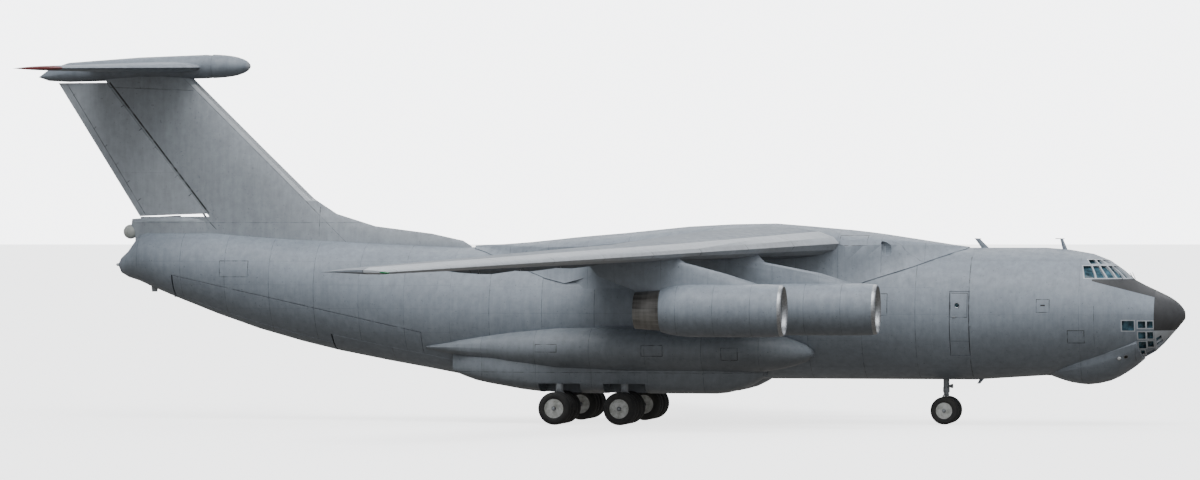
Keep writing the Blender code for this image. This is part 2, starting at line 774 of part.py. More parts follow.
def centre_section():
    """Straight middle of the fuselage, a hollow wall round the hold."""
    stations = (TAIL_JOINT, -1.50, 2.50, NOSE_JOINT)
    outer = [skin_ring(x) for x in stations]
    inner = [skin_ring(x, WALL) for x in stations]
    item = piece("centre_section", shell(outer, inner), "grey paint")
    seats = hinge_blocks(RAMP_FRONT + 1.5 * SEAT, TAIL_JOINT + 0.02, form_at(TAIL_JOINT)[2], RAMP_HINGE_BLOCK)
    combine(item, guide("ramp_hinge_blocks", join(*seats)), "UNION")


def cargo_floor():
    """Flat floor of the hold."""
    rings = []
    low = FLOOR_TOP - FLOOR_THICKNESS
    for x, half in ((TAIL_JOINT + 0.02, FLOOR_AFT_HALF_WIDTH), (-1.50, FLOOR_HALF_WIDTH),
                    (FLOOR_FRONT, FLOOR_HALF_WIDTH)):
        corners = ((-half, low), (half, low), (half, FLOOR_TOP), (-half, FLOOR_TOP))
        rings.append([Vector((x, y, z)) for y, z in corners])
    piece("cargo_floor", loft(rings), "floor")


def tail_section():
    """Tail wall, open below from the hold back to the end of the cargo doors."""
    columns = upper_columns() + list(LOWER_COLUMNS)
    stations = (TAIL_JOINT - SEAT, *TAIL_STATIONS, TAIL_END)
    outer = [tail_ring(x, columns) for x in stations]
    inner = [tail_ring(x, [leaned(c) for c in columns], WALL) for x in stations]
    half = len(columns) - 1
    last = len(stations) - 2

    def keep(i, j):
        column = columns[j if j < half else 2 * half - 1 - j]
        if i == 0:
            return column < RAMP_EDGE
        return column < 1.0 or i == last

    item = piece("tail_section", shell(outer, inner, keep), "grey paint")
    aft = TAIL_STATIONS[-1]
    front = CENTRE_DOOR_AFT - 1.5 * SEAT
    blocks = hinge_blocks(aft - WALL, front, form_at(aft)[2], CENTRE_DOOR_HINGE_BLOCK)
    for side in (1, -1):
        blocks += [on_side(side_door_seat(k), side) for k in (0, 2, 4)]
    combine(item, guide("tail_hinge_blocks", join(*blocks)), "UNION")


def tail_cap_shape(grow=0.0):
    """Blunt end of the fuselage; a cutter is grown all round and reaches into the tail section."""
    form = TAIL_CAP_FORM
    if grow:
        form = ((TAIL_END + WALL, *TAIL_CAP_FORM[0][1:]), *TAIL_CAP_FORM)
    rings = []
    for x, top, middle, bottom, half_width in form:
        ring = []
        for k in range(TAIL_CAP_SIDES):
            turn = 2 * math.pi * k / TAIL_CAP_SIDES
            rise = top - middle if math.cos(turn) >= 0 else middle - bottom
            ring.append(Vector((x, (half_width + grow) * math.sin(turn), middle + (rise + grow) * math.cos(turn))))
        rings.append(ring)
    return loft(rings + [[Vector(TAIL_CAP_TIP)]])


def side_door_hinge(side):
    """Two points of a side door's hinge line, just outside the skin."""
    points = []
    for x, height in (SEAM_FRONT, SEAM_AFT):
        edge = skin(x, tail_angle(x, 1.0))
        points.append(Vector((x, side * (edge.y + HINGE_OUT), height)))
    return points


def side_door_seat(k):
    """Small hinge block above the left side door's top edge, between two of its stations."""
    corners = []
    for x in SIDE_DOOR_STATIONS[k:k + 2]:
        angle = tail_angle(x, SIDE_DOOR_TOP)
        corners.append((skin(x, angle), skin(x, angle, WALL), skin(x, tail_angle(x, 0.95))))
    rings = []
    for t in SIDE_DOOR_BLOCK_SPAN:
        outer, inner, above = (a.lerp(b, t) for a, b in zip(*corners))
        up = (above - outer).normalized()
        inner = outer.lerp(inner, 0.8)
        low, high = up * 2.5 * SEAT, up * SIDE_DOOR_BLOCK_HEIGHT
        rings.append([outer + low, inner + low, inner + high, outer + high])
    return loft(rings)


def cargo_side_door(side, name):
    """Outward-opening side door: a long upper part and a lower part behind the ramp."""
    columns = (SIDE_DOOR_TOP, 1.13, 1.25, RAMP_EDGE, CENTRE_DOOR_EDGE)
    foot = SIDE_DOOR_STATIONS[2]
    stations = SIDE_DOOR_STATIONS

    outer = [[skin(x, tail_angle(x, c)) for c in columns] for x in stations]
    inner = [[skin(x, tail_angle(x, leaned(c)), WALL) for c in columns] for x in stations]

    def keep(i, j):
        return j < 3 or stations[i] <= foot

    shape = on_side(shell(outer, inner, keep, wrap=False), side)
    piece(name, shape, "grey paint", side_door_hinge(side)[0])


def lower_arc(x, edge, inward=0.0):
    """Skin points under the tail from the left edge column round to the right one."""
    columns = [edge, *[c for c in LOWER_COLUMNS if c > edge]]
    left = [skin(x, tail_angle(x, c), inward) for c in columns]
    return left + [Vector((p.x, -p.y, p.z)) for p in reversed(left[:-1])]


def cargo_ramp():
    """Thick ramp with a flat top, hinged at its lower front edge."""
    edge = RAMP_EDGE + 0.010
    rings = []
    for x in (RAMP_FRONT, TAIL_STATIONS[0], TAIL_STATIONS[1], RAMP_AFT):
        arc = lower_arc(x, edge)
        lift = FLOOR_TOP + (RAMP_FRONT - x) * RAMP_SLOPE
        half_width = arc[0].y
        top_x = x + 0.17 if x == RAMP_AFT else x
        cap = [Vector((top_x, -half_width + 0.001, lift)), Vector((top_x, half_width - 0.001, lift))]
        rings.append(arc + cap)
    origin = (RAMP_FRONT, 0.0, form_at(RAMP_FRONT)[2])
    piece("cargo_ramp", loft(rings), "grey paint", origin, 30)


def cargo_centre_door():
    """Door between the side doors, hinged at its rear edge and swinging up inside."""
    edge = CENTRE_DOOR_EDGE + 0.016
    front = RAMP_AFT - 0.03
    rings = []
    for x in (front, -6.10, -7.00, -7.85, CENTRE_DOOR_AFT):
        outer = lower_arc(x, edge)
        thick = CENTRE_DOOR_LIP if x == front else CENTRE_DOOR_THICKNESS
        inner = [Vector((p.x, p.y * 0.985, p.z + thick)) for p in reversed(outer)]
        rings.append(outer + inner)
    height = skin(CENTRE_DOOR_AFT, tail_angle(CENTRE_DOOR_AFT, edge)).z + 0.065
    piece("cargo_centre_door", loft(rings), "grey paint", (CENTRE_DOOR_AFT, 0.0, height))


# Wing

def wing_frame(y):
    """Leading edge, chord, height, incidence and thickness of the left wing at a span station."""
    lead = ROOT_LEADING_EDGE - (y - ROOT_Y) * math.tan(LEADING_EDGE_SWEEP)
    trailing_edge = ((ROOT_Y, ROOT_TRAILING_EDGE), (KINK_Y, KINK_TRAILING_EDGE), (TIP_Y, TIP_TRAILING_EDGE))
    chord = lead - between(trailing_edge, y)
    height = ROOT_HEIGHT - (y - ROOT_Y) * math.tan(ANHEDRAL)
    share = (y - ROOT_Y) / (TIP_Y - ROOT_Y)
    return lead, chord, height, blend(ROOT_INCIDENCE, 0.0, share), blend(ROOT_THICKNESS, TIP_THICKNESS, share)


def aerofoil(share, thickness):
    """Half thickness of a section at a share of its chord, with a blunt trailing edge."""
    shape = (0.2969 * math.sqrt(share) - 0.1260 * share - 0.3516 * share ** 2
             + 0.2843 * share ** 3 - 0.1015 * share ** 4)
    return 5 * thickness * shape + 0.0015 * share


def wing_point(y, share, side, shrink=1.0):
    """Point on the upper (+1) or lower (-1) surface of the left wing; side 0 is the middle."""
    lead, chord, height, incidence, thickness = wing_frame(y)
    camber = 0.018 * 4 * share * (1 - share) * chord
    up = camber + side * aerofoil(share, thickness) * chord * shrink
    along = chord * share
    return Vector((
        lead - along * math.cos(incidence) - up * math.sin(incidence),
        y,
        height - along * math.sin(incidence) + up * math.cos(incidence),
    ))


def chord_shares(steps=CHORD_STEPS):
    """Shares of the chord, closer together near the leading edge."""
    return [1 - math.cos(math.pi / 2 * k / steps) for k in range(steps + 1)]


def wing_shape():
    """Whole left wing, before flaps and aileron are cut from it."""
    rings = []
    stations = (ROOT_Y + SEAT, 2.60, KINK_Y, 7.50, 10.00, 12.10, TIP_Y - 0.12, TIP_Y)
    for y in stations:
        shrink = 0.35 if y == TIP_Y else 1.0
        shares = chord_shares()
        ring = [wing_point(y, s, 1, shrink) for s in reversed(shares[1:])]
        ring.append(wing_point(y, 0.0, 0))
        ring += [wing_point(y, s, -1, shrink) for s in shares[1:]]
        rings.append(ring)
    return loft(rings)


def hinge_point(y, share):
    """Middle of the wing at a span station and a share of the chord."""
    return wing_point(y, share, 0)


def flap_line(span):
    """Ends of a flap's nose line and the directions along it, aft and up."""
    start, end = (hinge_point(y, 1 - FLAP_SHARE) for y in span)
    return (start, end, *line_frame(start, end, (-1, 0, 0)))


def pivot_below(span, drop, y):
    """Point of a flap's pivot line at a span station."""
    start, _, along, _, up = flap_line(span)
    foot = start - up * drop
    return foot + along * ((y - foot.y) / along.y)


def track_fairing(span, drop, y):
    """Slim fairing under the wing round one flap track, no lower than the flap's pivot."""
    lead, chord = wing_frame(y)[:2]
    nose = wing_point(y, 1 - FLAP_SHARE, -1)
    full_depth = nose.z - pivot_below(span, drop, y).z
    rings = []
    for offset, depth, width in TRACK_FORM:
        x = nose.x - offset
        share = min((lead - x) / chord, 1.0)
        under = wing_point(y, share, -1).z
        top = under + 0.015 if share < 1.0 else under - 0.04
        bottom = (under if offset < 0 else nose.z) - depth * full_depth
        middle, half = (top + bottom) / 2, (top - bottom) / 2
        ring = []
        for k in range(8):
            turn = 2 * math.pi * (k + 0.5) / 8
            ring.append(Vector((
                x,
                y + TRACK_HALF_WIDTH * width * math.sin(turn),
                middle + half * math.cos(turn) / math.cos(math.pi / 8),
            )))
        rings.append(ring)
    return loft(rings)


def track_seat(span, drop, y):
    """Pivot block between the fixed and the moving part of a track fairing."""
    along, aft, up = flap_line(span)[2:]
    pivot = pivot_below(span, drop, y)
    length, half, low, high = PIVOT_BLOCK
    rings = []
    for back in (-length, -1.5 * SEAT):
        corners = ((-half, low), (half, low), (half, high), (-half, high))
        rings.append([pivot + aft * back + up * u + along * w for w, u in corners])
    return loft(rings)


def flap_zone(span, margin, gap, reach):
    """Region behind the flap's nose line, ends square to that line."""
    start, end, along = flap_line(span)[:3]
    start, end = start - along * margin, end + along * margin
    profile = [(-gap, 0.40), (-gap, -0.36), (reach, -0.36), (reach, 0.40)]
    return prism(start, end, profile, profile, (-1, 0, 0))


def nose_arc(radius, reach, height):
    """Profile of a control surface zone with its round nose on the hinge."""
    arc = [(-radius * math.sin(math.pi * k / 8), radius * math.cos(math.pi * k / 8)) for k in range(9)]
    return arc + [(reach, -height), (reach, height)]


def control_zone(start, end, radii, margin, gap, reach, aft):
    """Region of a plain control surface that turns about the line from start to end."""
    start, end = Vector(start), Vector(end)
    along = (end - start).normalized()
    length = (end - start).length
    slope = (radii[1] - radii[0]) / length
    first, last = radii[0] - slope * margin + gap, radii[1] + slope * margin + gap
    profiles = [nose_arc(r, reach, max(radii) + gap + 0.02) for r in (first, last)]
    return prism(start - along * margin, end + along * margin, profiles[0], profiles[1], aft)


def aileron_line():
    """Ends of the aileron's hinge line and the radii of its round nose."""
    ends = [hinge_point(y, 1 - AILERON_SHARE) for y in AILERON]
    radii = []
    for y in AILERON:
        chord, thickness = wing_frame(y)[1], wing_frame(y)[4]
        radii.append(aerofoil(1 - AILERON_SHARE, thickness) * chord * NOSE_FULLNESS + NOSE_MARGIN)
    return ends, radii


def hinge_stubs(ends):
    """Short round stubs on the hinge line that carry a control surface at both ends."""
    along = (ends[1] - ends[0]).normalized()
    return [rod(ends[0] - along * STUB_LENGTH, ends[0] - along * SEAT, STUB_RADIUS, 10),
            rod(ends[1] + along * SEAT, ends[1] + along * STUB_LENGTH, STUB_RADIUS, 10)]


def wing_and_surfaces(side, label):
    """Fixed wing, its two flaps and its aileron, all cut from one shape."""
    blank = on_side(wing_shape(), side)
    flaps = (("flap_inner_", INNER_FLAP, INNER_PIVOT_DROP, INNER_TRACKS),
             ("flap_outer_", OUTER_FLAP, OUTER_PIVOT_DROP, OUTER_TRACKS))
    tracks = [track_fairing(span, drop, y) for _, span, drop, stations in flaps for y in stations]
    track_guide = guide("flap_tracks_" + label, on_side(join(*tracks), side))
    ends, radii = aileron_line()
    aft = (-1, 0, 0)
    room = [flap_zone(span, RUNNING_GAP, RUNNING_GAP, 3.0) for _, span, _, _ in flaps]
    room.append(control_zone(ends[0], ends[1], radii, RUNNING_GAP, RUNNING_GAP, 2.0, aft))
    wing = piece("wing_" + label, blank, "grey paint")
    combine(wing, track_guide, "UNION")
    for k, shape in enumerate(room):
        combine(wing, guide("wing_room_%d_%s" % (k, label), on_side(shape, side)), "DIFFERENCE")
    seats = [track_seat(span, drop, y) for _, span, drop, stations in flaps for y in stations]
    combine(wing, guide("wing_hinges_" + label, on_side(join(*seats, *hinge_stubs(ends)), side)), "UNION")
    moving = [(name + label, flap_zone(span, 0, 0, 2.8), pivot_below(span, drop, span[0]))
              for name, span, drop, _ in flaps]
    moving.append(("aileron_" + label, control_zone(ends[0], ends[1], radii, 0, 0, 1.8, aft), ends[0]))
    for name, zone, origin in moving:
        item = piece(name, blank, "grey paint", (origin.x, side * origin.y, origin.z))
        if name.startswith("flap"):
            combine(item, track_guide, "UNION")
        combine(item, guide(name + "_zone", on_side(zone, side)), "INTERSECT")
    return guide("wing_form_" + label, blank, (0, 0, -SEAT))


def crown_section(top, side_top):
    """Half section of the fairing's middle, from below the skin up to the top, as (out, height)."""
    low = skin(CROWN_FORM[0][0], math.radians(CROWN_EDGE)).z - CROWN_ROOT
    section = [(ROOT_Y, blend(low, side_top, k / 3)) for k in range(3)]
    turns = [math.pi / 8 * k for k in range(5)]
    return section + [(ROOT_Y * math.cos(t), blend(side_top, top, math.sin(t))) for t in turns]


def crown_end(section, x, share, edge):
    """The middle's half section drawn in round the fuselage's axis, down to a low edge on the skin."""
    top, middle = form_at(x)[:2]
    radius = top - middle
    points = []
    for k, (out, height) in enumerate(section):
        angle = math.degrees(math.atan2(out, height - middle))
        rise = math.hypot(out, height - middle) - radius
        if k < 2:
            angle, rise = CROWN_EDGE, (-CROWN_ROOT, CROWN_LIP)[k]
        else:
            rise = max(rise * share, CROWN_LIP)
        turn = math.radians(angle * edge / CROWN_EDGE)
        points.append(((radius + rise) * math.sin(turn), middle + (radius + rise) * math.cos(turn)))
    return points


def wing_centre_fairing(front_form):
    """Hump over the fuselage with the wing's centre box; the wing roots bear on its flat sides."""
    front, rear = (crown_section(*CROWN_FORM[k][1:]) for k in (0, -1))
    halves = [(x, crown_end(front, x, share, edge)) for x, share, edge in CROWN_FRONT]
    halves += [(x, crown_section(top, side_top)) for x, top, side_top in CROWN_FORM]
    halves += [(x, crown_end(rear, x, share, edge)) for x, share, edge in CROWN_REAR]
    rings = []
    for x, half in halves:
        left = [Vector((x, out, height)) for out, height in half]
        rings.append(left + [Vector((x, -out, height)) for out, height in reversed(half[:-1])])
    item = piece("wing_centre_fairing", loft(rings), "grey paint")
    combine(item, front_form, "DIFFERENCE")


# Engines

def nacelle_profile():
    """Section of nacelle, engine block and nozzle, as (distance behind the lip, radius)."""
    return (
        (FAN_WALL_DEPTH - 0.04, 0.0), (FAN_WALL_DEPTH - 0.04, 0.12), (FAN_WALL_DEPTH, 0.12),
        (FAN_WALL_DEPTH, DUCT_RADIUS), (0.22, DUCT_RADIUS + 0.005), (0.04, 0.432), (0.0, 0.457),
        (0.03, 0.478), (0.14, 0.490), (0.40, NACELLE_RADIUS), (1.80, NACELLE_RADIUS), (2.34, 0.405),
        (2.34, 0.385), (NACELLE_LENGTH, 0.347), (NACELLE_LENGTH, NOZZLE_RADIUS), (2.42, 0.352),
        (2.42, 0.17), (2.62, 0.12), (2.78, 0.0),
    )


def nacelle_form(lip):
    """Hidden outer form of the nacelle, a seat gap proud of it, that the pylon is fitted to."""
    outer = [(a, r + SEAT) for a, r in nacelle_profile()[6:14]]
    return turned([(0.0, 0.0), *outer, (NACELLE_LENGTH, 0.0)], lip, (-1, 0, 0), ROUND_SIDES)


def fan_shape(lip):
    """Bladed disc with its spinner, in front of the engine's face."""
    hub, tip = 0.115, DUCT_RADIUS - 0.006
    back = lip.x - FAN_WALL_DEPTH + 0.04 + SEAT
    front = back + 0.10
    rings = []
    for x, twist in ((front, 0.0), (back, 0.16)):
        ring = []
        for k in range(FAN_BLADES):
            middle = 2 * math.pi * k / FAN_BLADES + twist
            for radius, spread in ((hub, -0.100), (tip, -0.055), (tip, 0.055), (hub, 0.100)):
                turn = middle + spread
                ring.append(Vector((x, lip.y + radius * math.cos(turn), lip.z + radius * math.sin(turn))))
        rings.append(ring)
    count = 4 * FAN_BLADES
    verts = rings[0] + rings[1]
    faces = [[j, (j + 1) % count, count + (j + 1) % count, count + j] for j in range(count)]
    faces.append([count + j for j in range(count)])
    faces += [[4 * k, 4 * k + 1, 4 * k + 2, 4 * k + 3] for k in range(FAN_BLADES)]
    roots = [4 * k + c for k in range(FAN_BLADES) for c in (0, 3)]
    belt = len(verts)
    for index in roots:
        root = verts[index]
        verts.append(Vector((front + 0.10, blend(lip.y, root.y, 0.62), blend(lip.z, root.z, 0.62))))
    verts.append(Vector((front + 0.17, lip.y, lip.z)))
    for k in range(len(roots)):
        m = (k + 1) % len(roots)
        faces.append([roots[k], roots[m], belt + m, belt + k])
        faces.append([belt + k, belt + m, len(verts) - 1])
    return verts, faces


def pylon_shape(lip):
    """Left-hand pylon from the nacelle's top up into the wing, with a thin front and rear edge."""
    lead, chord = wing_frame(lip.y)[:2]

    def inside_wing(back):
        return wing_point(lip.y, back / chord, 0).z

    # Front and rear edge of each level, and the share of full thickness there
    levels = (
        ((lip.x - 0.38, 2.68), (lip.x - 2.60, 2.58)),
        ((lip.x - 0.50, 2.80), (lip.x - 2.90, 2.70)),
        ((lip.x - 1.10, 2.99), (lip.x - 3.55, 2.94)),
        ((lead - 0.05, 3.20), (lead - 2.00, inside_wing(2.00) - 0.10)),
        ((lead - 0.32, inside_wing(0.32)), (lead - 2.05, inside_wing(2.05))),
    )
    rings = []
    for (front_x, front_z), (rear_x, rear_z) in levels:
        ring = []
        for share, spread in ((0.0, 0.12), (0.07, 0.7), (0.22, 1.0), (0.75, 1.0), (1.0, 0.15)):
            ring.append((share, spread))
        outline = ring + [(s, -w) for s, w in reversed(ring)]
        points = []
        for share, spread in outline:
            points.append(Vector((
                blend(front_x, rear_x, share),
                lip.y + PYLON_HALF_THICKNESS * spread,
                blend(front_z, rear_z, share),
            )))
        rings.append(points)
    return loft(rings)


def engines(side, label, wing_form):
    """Nacelle, fan and pylon of both engines on one side."""
    for place, out, lip_x, height in ENGINES:
        lip = Vector((lip_x, side * out, height))
        name = "%s_%s" % (place, label)
        piece("nacelle_" + name, turned(nacelle_profile(), lip, (-1, 0, 0), ROUND_SIDES), "grey paint")
        piece("fan_" + name, fan_shape(lip), "steel", (lip_x - FAN_DEPTH, side * out, height))
        left_lip = Vector((lip_x, out, height))
        pylon = piece("pylon_" + name, on_side(pylon_shape(left_lip), side), "grey paint")
        combine(pylon, guide("nacelle_form_" + name, nacelle_form(lip)), "DIFFERENCE")
        combine(pylon, wing_form, "DIFFERENCE")


# Tail

def section_ring(lead, trail, middle, thickness, place):
    """Ring of a symmetrical section; place(x, up) makes each point."""
    chord = lead - trail
    shares = chord_shares(7)
    ring = [place(lead - s * chord, aerofoil(s, thickness) * chord) for s in reversed(shares[1:])]
    ring.append(place(lead, 0.0))
    ring += [place(lead - s * chord, -aerofoil(s, thickness) * chord) for s in shares[1:]]
    return ring


def fin_shape():
    """Whole fin from inside the fuselage up to the bullet, with the dorsal fillet left out."""
    rings = []
    for z in (3.30, 4.10, 5.40, 6.98):
        lead, trail = between(FIN_LEADING_EDGE, z), between(FIN_TRAILING_EDGE, z)
        rings.append(section_ring(lead, trail, z, FIN_THICKNESS, lambda x, up, z=z: Vector((x, up, z))))
    return loft(rings)


def dorsal_fillet():
    """Low fillet that runs forward from the fin along the fuselage's top."""
    rings = []
    for x, top, half_width in DORSAL_FORM:
        ring = [Vector((x, half_width * 1.3, 3.25)), Vector((x, half_width, blend(3.25, top, 0.75))),
                Vector((x, half_width * 0.35, top)), Vector((x, -half_width * 0.35, top)),
                Vector((x, -half_width, blend(3.25, top, 0.75))), Vector((x, -half_width * 1.3, 3.25))]
        rings.append(ring)
    return loft(rings)


def bullet_shape(grow=0.0):
    """Spindle on top of the fin."""
    rings = [[BULLET_NOSE]]
    for x, z, radius in BULLET:
        reach = radius + grow
        turns = [2 * math.pi * (k + 0.5) / BULLET_SIDES for k in range(BULLET_SIDES)]
        rings.append([Vector((x, reach * math.sin(t), z + reach * math.cos(t))) for t in turns])
    rings.append([BULLET_TAIL])
    return loft(rings)


def fin_half_thickness(z, x):
    """Half thickness of the fin at a height and station."""
    lead, trail = between(FIN_LEADING_EDGE, z), between(FIN_TRAILING_EDGE, z)
    return aerofoil((lead - x) / (lead - trail), FIN_THICKNESS) * (lead - trail)


def rudder_zone(gap, levels, droops=(0.0, 0.0)):
    """Region of the rudder: its nose is round when seen along the leaning hinge.

    Its ends are level, or drop by droops for each metre behind the hinge.
    """
    radii = [fin_half_thickness(z, x) * NOSE_FULLNESS + NOSE_MARGIN + gap for z, x in RUDDER_HINGE]
    slope = (RUDDER_HINGE[1][1] - RUDDER_HINGE[0][1]) / (RUDDER_HINGE[1][0] - RUDDER_HINGE[0][0])
    stretch = math.hypot(1.0, slope)
    rings = []
    for z, droop in zip(levels, droops):
        share = (z - RUDDER_HINGE[0][0]) / (RUDDER_HINGE[1][0] - RUDDER_HINGE[0][0])
        x = RUDDER_HINGE[0][1] + slope * (z - RUDDER_HINGE[0][0])
        radius = blend(radii[0], radii[1], share)
        profile = nose_arc(radius, 2.0, max(radii) + 0.02)
        rings.append([Vector((x - a * stretch, up, z - droop * max(a, 0.0))) for a, up in profile])
    return loft(rings)


def fin_and_rudder(tail_form, front_form):
    """Fin with its dorsal fillet, and the rudder cut from it."""
    bullet = guide("bullet_form", bullet_shape(SEAT))
    fin = piece("fin", fin_shape(), "grey paint")
    combine(fin, guide("dorsal_form", dorsal_fillet()), "UNION")
    combine(fin, guide("tail_box_form", tail_box()), "UNION")
    combine(fin, tail_form, "DIFFERENCE")
    combine(fin, front_form, "DIFFERENCE")
    combine(fin, guide("rudder_room", rudder_zone(RUNNING_GAP, RUDDER_ROOM)), "DIFFERENCE")
    combine(fin, bullet, "DIFFERENCE")
    combine(fin, guide("tail_cap_form", tail_cap_shape(SEAT)), "DIFFERENCE")
    rear, under = TAIL_BOX_REAR
    combine(fin, guide("tail_box_end", block((-10.2, -1, 3.0), (rear, 1, under))), "DIFFERENCE")
    foot = RUDDER_HINGE[0]
    rudder = piece("rudder", fin_shape(), "grey paint", (foot[1], 0.0, foot[0]))
    zone = rudder_zone(0.0, (RUDDER_BOTTOM, RUDDER_TOP), (RUDDER_FOOT_DROOP, 0.0))
    combine(rudder, guide("rudder_zone", zone), "INTERSECT")
    base = Vector((RUDDER_HINGE[0][1], 0.0, RUDDER_HINGE[0][0]))
    up = (Vector((RUDDER_HINGE[1][1], 0.0, RUDDER_HINGE[1][0])) - base).normalized()
    below, above = RUDDER_PIN_REACH
    pin = rod(base - up * below, base + up * above, RUDDER_PIN_RADIUS, RUDDER_PIN_SIDES)
    radius = RUDDER_PIN_RADIUS / math.cos(math.pi / RUDDER_PIN_SIDES) + SEAT
    socket = rod(base - up * below, base + up * (above + RUDDER_SOCKET_SPARE), radius, RUDDER_PIN_SIDES)
    combine(fin, guide("rudder_pin", pin), "UNION")
    combine(rudder, guide("rudder_socket", socket), "DIFFERENCE")


def tail_box():
    """Flat-topped fairing behind the fin, under the rudder."""
    rings = []
    for x, half_width, top in TAIL_BOX_FORM:
        rings.append([Vector((x, half_width, 3.30)), Vector((x, half_width, top - 0.08)),
                      Vector((x, half_width * 0.6, top)), Vector((x, -half_width * 0.6, top)),
                      Vector((x, -half_width, top - 0.08)), Vector((x, -half_width, 3.30))])
    return loft(rings)


def stabiliser_place(y):
    """Leading edge, trailing edge and height of the stabiliser at a span station."""
    share = y / STABILISER_TIP_Y
    return (blend(*STABILISER_LEADING_EDGE, share), blend(*STABILISER_TRAILING_EDGE, share),
            blend(*STABILISER_HEIGHT, share))


def stabiliser_shape():
    """Left stabiliser from the bullet's middle to the tip."""
    rings = []
    for y in (0.02, 2.0, STABILISER_TIP_Y - 0.06, STABILISER_TIP_Y):
        lead, trail, height = stabiliser_place(y)
        thin = 0.4 if y == STABILISER_TIP_Y else 1.0
        rings.append(section_ring(lead, trail, height, STABILISER_THICKNESS * thin,
                                  lambda x, up, y=y, z=height: Vector((x, y, z + up))))
    return loft(rings)


def elevator_line():
    """Ends of the left elevator's hinge line and the radii of its nose."""
    ends, radii = [], []
    for y in ELEVATOR:
        lead, trail, height = stabiliser_place(y)
        ends.append(Vector((blend(lead, trail, 1 - ELEVATOR_SHARE), y, height)))
        half = aerofoil(1 - ELEVATOR_SHARE, STABILISER_THICKNESS) * (lead - trail)
        radii.append(half * NOSE_FULLNESS + NOSE_MARGIN)
    return ends, radii


def tailplane():
    """Stabiliser with its bullet, and the two elevators."""
    ends, radii = elevator_line()
    whole = piece("tailplane", bullet_shape(), "grey paint")
    for side, label in ((1, "left"), (-1, "right")):
        blank = on_side(stabiliser_shape(), side)
        combine(whole, guide("stabiliser_form_" + label, blank), "UNION")
        zone = control_zone(ends[0], ends[1], radii, RUNNING_GAP, RUNNING_GAP, 1.6, (-1, 0, 0))
        combine(whole, guide("elevator_room_" + label, on_side(zone, side)), "DIFFERENCE")
        stubs = join(*hinge_stubs(ends))
        combine(whole, guide("elevator_hinges_" + label, on_side(stubs, side)), "UNION")
        origin = (ends[0].x, side * ends[0].y, ends[0].z)
        item = piece("elevator_" + label, blank, "grey paint", origin)
        zone = control_zone(ends[0], ends[1], radii, 0, 0, 1.4, (-1, 0, 0))
        combine(item, guide("elevator_zone_" + label, on_side(zone, side)), "INTERSECT")


# Landing gear

def sponson_shape():
    """Long spindle along the fuselage's left side."""
    rings = []
    turns = [2 * math.pi * k / GEAR_FAIRING_SIDES for k in range(GEAR_FAIRING_SIDES)]
    for x, half_height, half_width, height, out in SPONSON_FORM:
        rings.append([Vector((x, out + half_width * math.sin(t), height + half_height * math.cos(t)))
                      for t in turns])
    return loft(rings)


def rounded(value, power):
    """Sine or cosine value drawn out towards a square."""
    return math.copysign(abs(value) ** power, value)


def belly_shape():
    """Flat-bottomed wheel fairing under the left half of the fuselage."""
    rings = []
    for x in BELLY_STATIONS:
        bottom, half_width = form_row(BELLY_FORM, x)
        ring = []
        for k in range(GEAR_FAIRING_SIDES):
            turn = 2 * math.pi * k / GEAR_FAIRING_SIDES
            drop = BELLY_MIDDLE[1] - bottom if math.cos(turn) > 0 else BELLY_ROOT
            ring.append(Vector((
                x,
                BELLY_MIDDLE[0] + half_width * rounded(math.sin(turn), 0.6),
                BELLY_MIDDLE[1] - drop * rounded(math.cos(turn), 0.6),
            )))
        rings.append(ring)
    return loft(rings)


def gear_fairing(side, label, front_form, tail_form):
    """Upper and lower gear fairing of one side, with wheel wells cut under it."""
    item = piece("gear_fairing_" + label, on_side(sponson_shape(), side), "grey paint")
    combine(item, guide("belly_form_" + label, on_side(belly_shape(), side)), "UNION")
    for unit, x in MAIN_UNITS:
        well = block((x - WELL_HALF_LENGTH, WELL_SIDES[0], 0.20),
                     (x + WELL_HALF_LENGTH, WELL_SIDES[1], WELL_ROOF))
        combine(item, guide("well_%s_%s" % (unit, label), on_side(well, side)), "DIFFERENCE")
    combine(item, front_form, "DIFFERENCE")
    combine(item, tail_form, "DIFFERENCE")


def wheel_pair(x, start, out, radius, width, spacing):
    """Two wheels joined by a sleeve round their axle, the first face at start, going out.

    The bore's flats stay a seat gap clear of the axle's corners as the wheels turn.
    """
    far = 2 * width + spacing
    bore = (AXLE_RADIUS + SEAT) / math.cos(math.pi / TYRE_SIDES)
    profile = (
        (0, bore), (0, 0.84 * radius), (0.22 * width, radius), (0.78 * width, radius),
        (width, 0.84 * radius), (width, SLEEVE_RADIUS), (width + spacing, SLEEVE_RADIUS),
        (width + spacing, 0.84 * radius), (1.22 * width + spacing, radius), (1.78 * width + spacing, radius),
        (far, 0.84 * radius), (far, bore),
    )
    return turned(profile, (x, start, radius), (0, out, 0), TYRE_SIDES, closed=True)


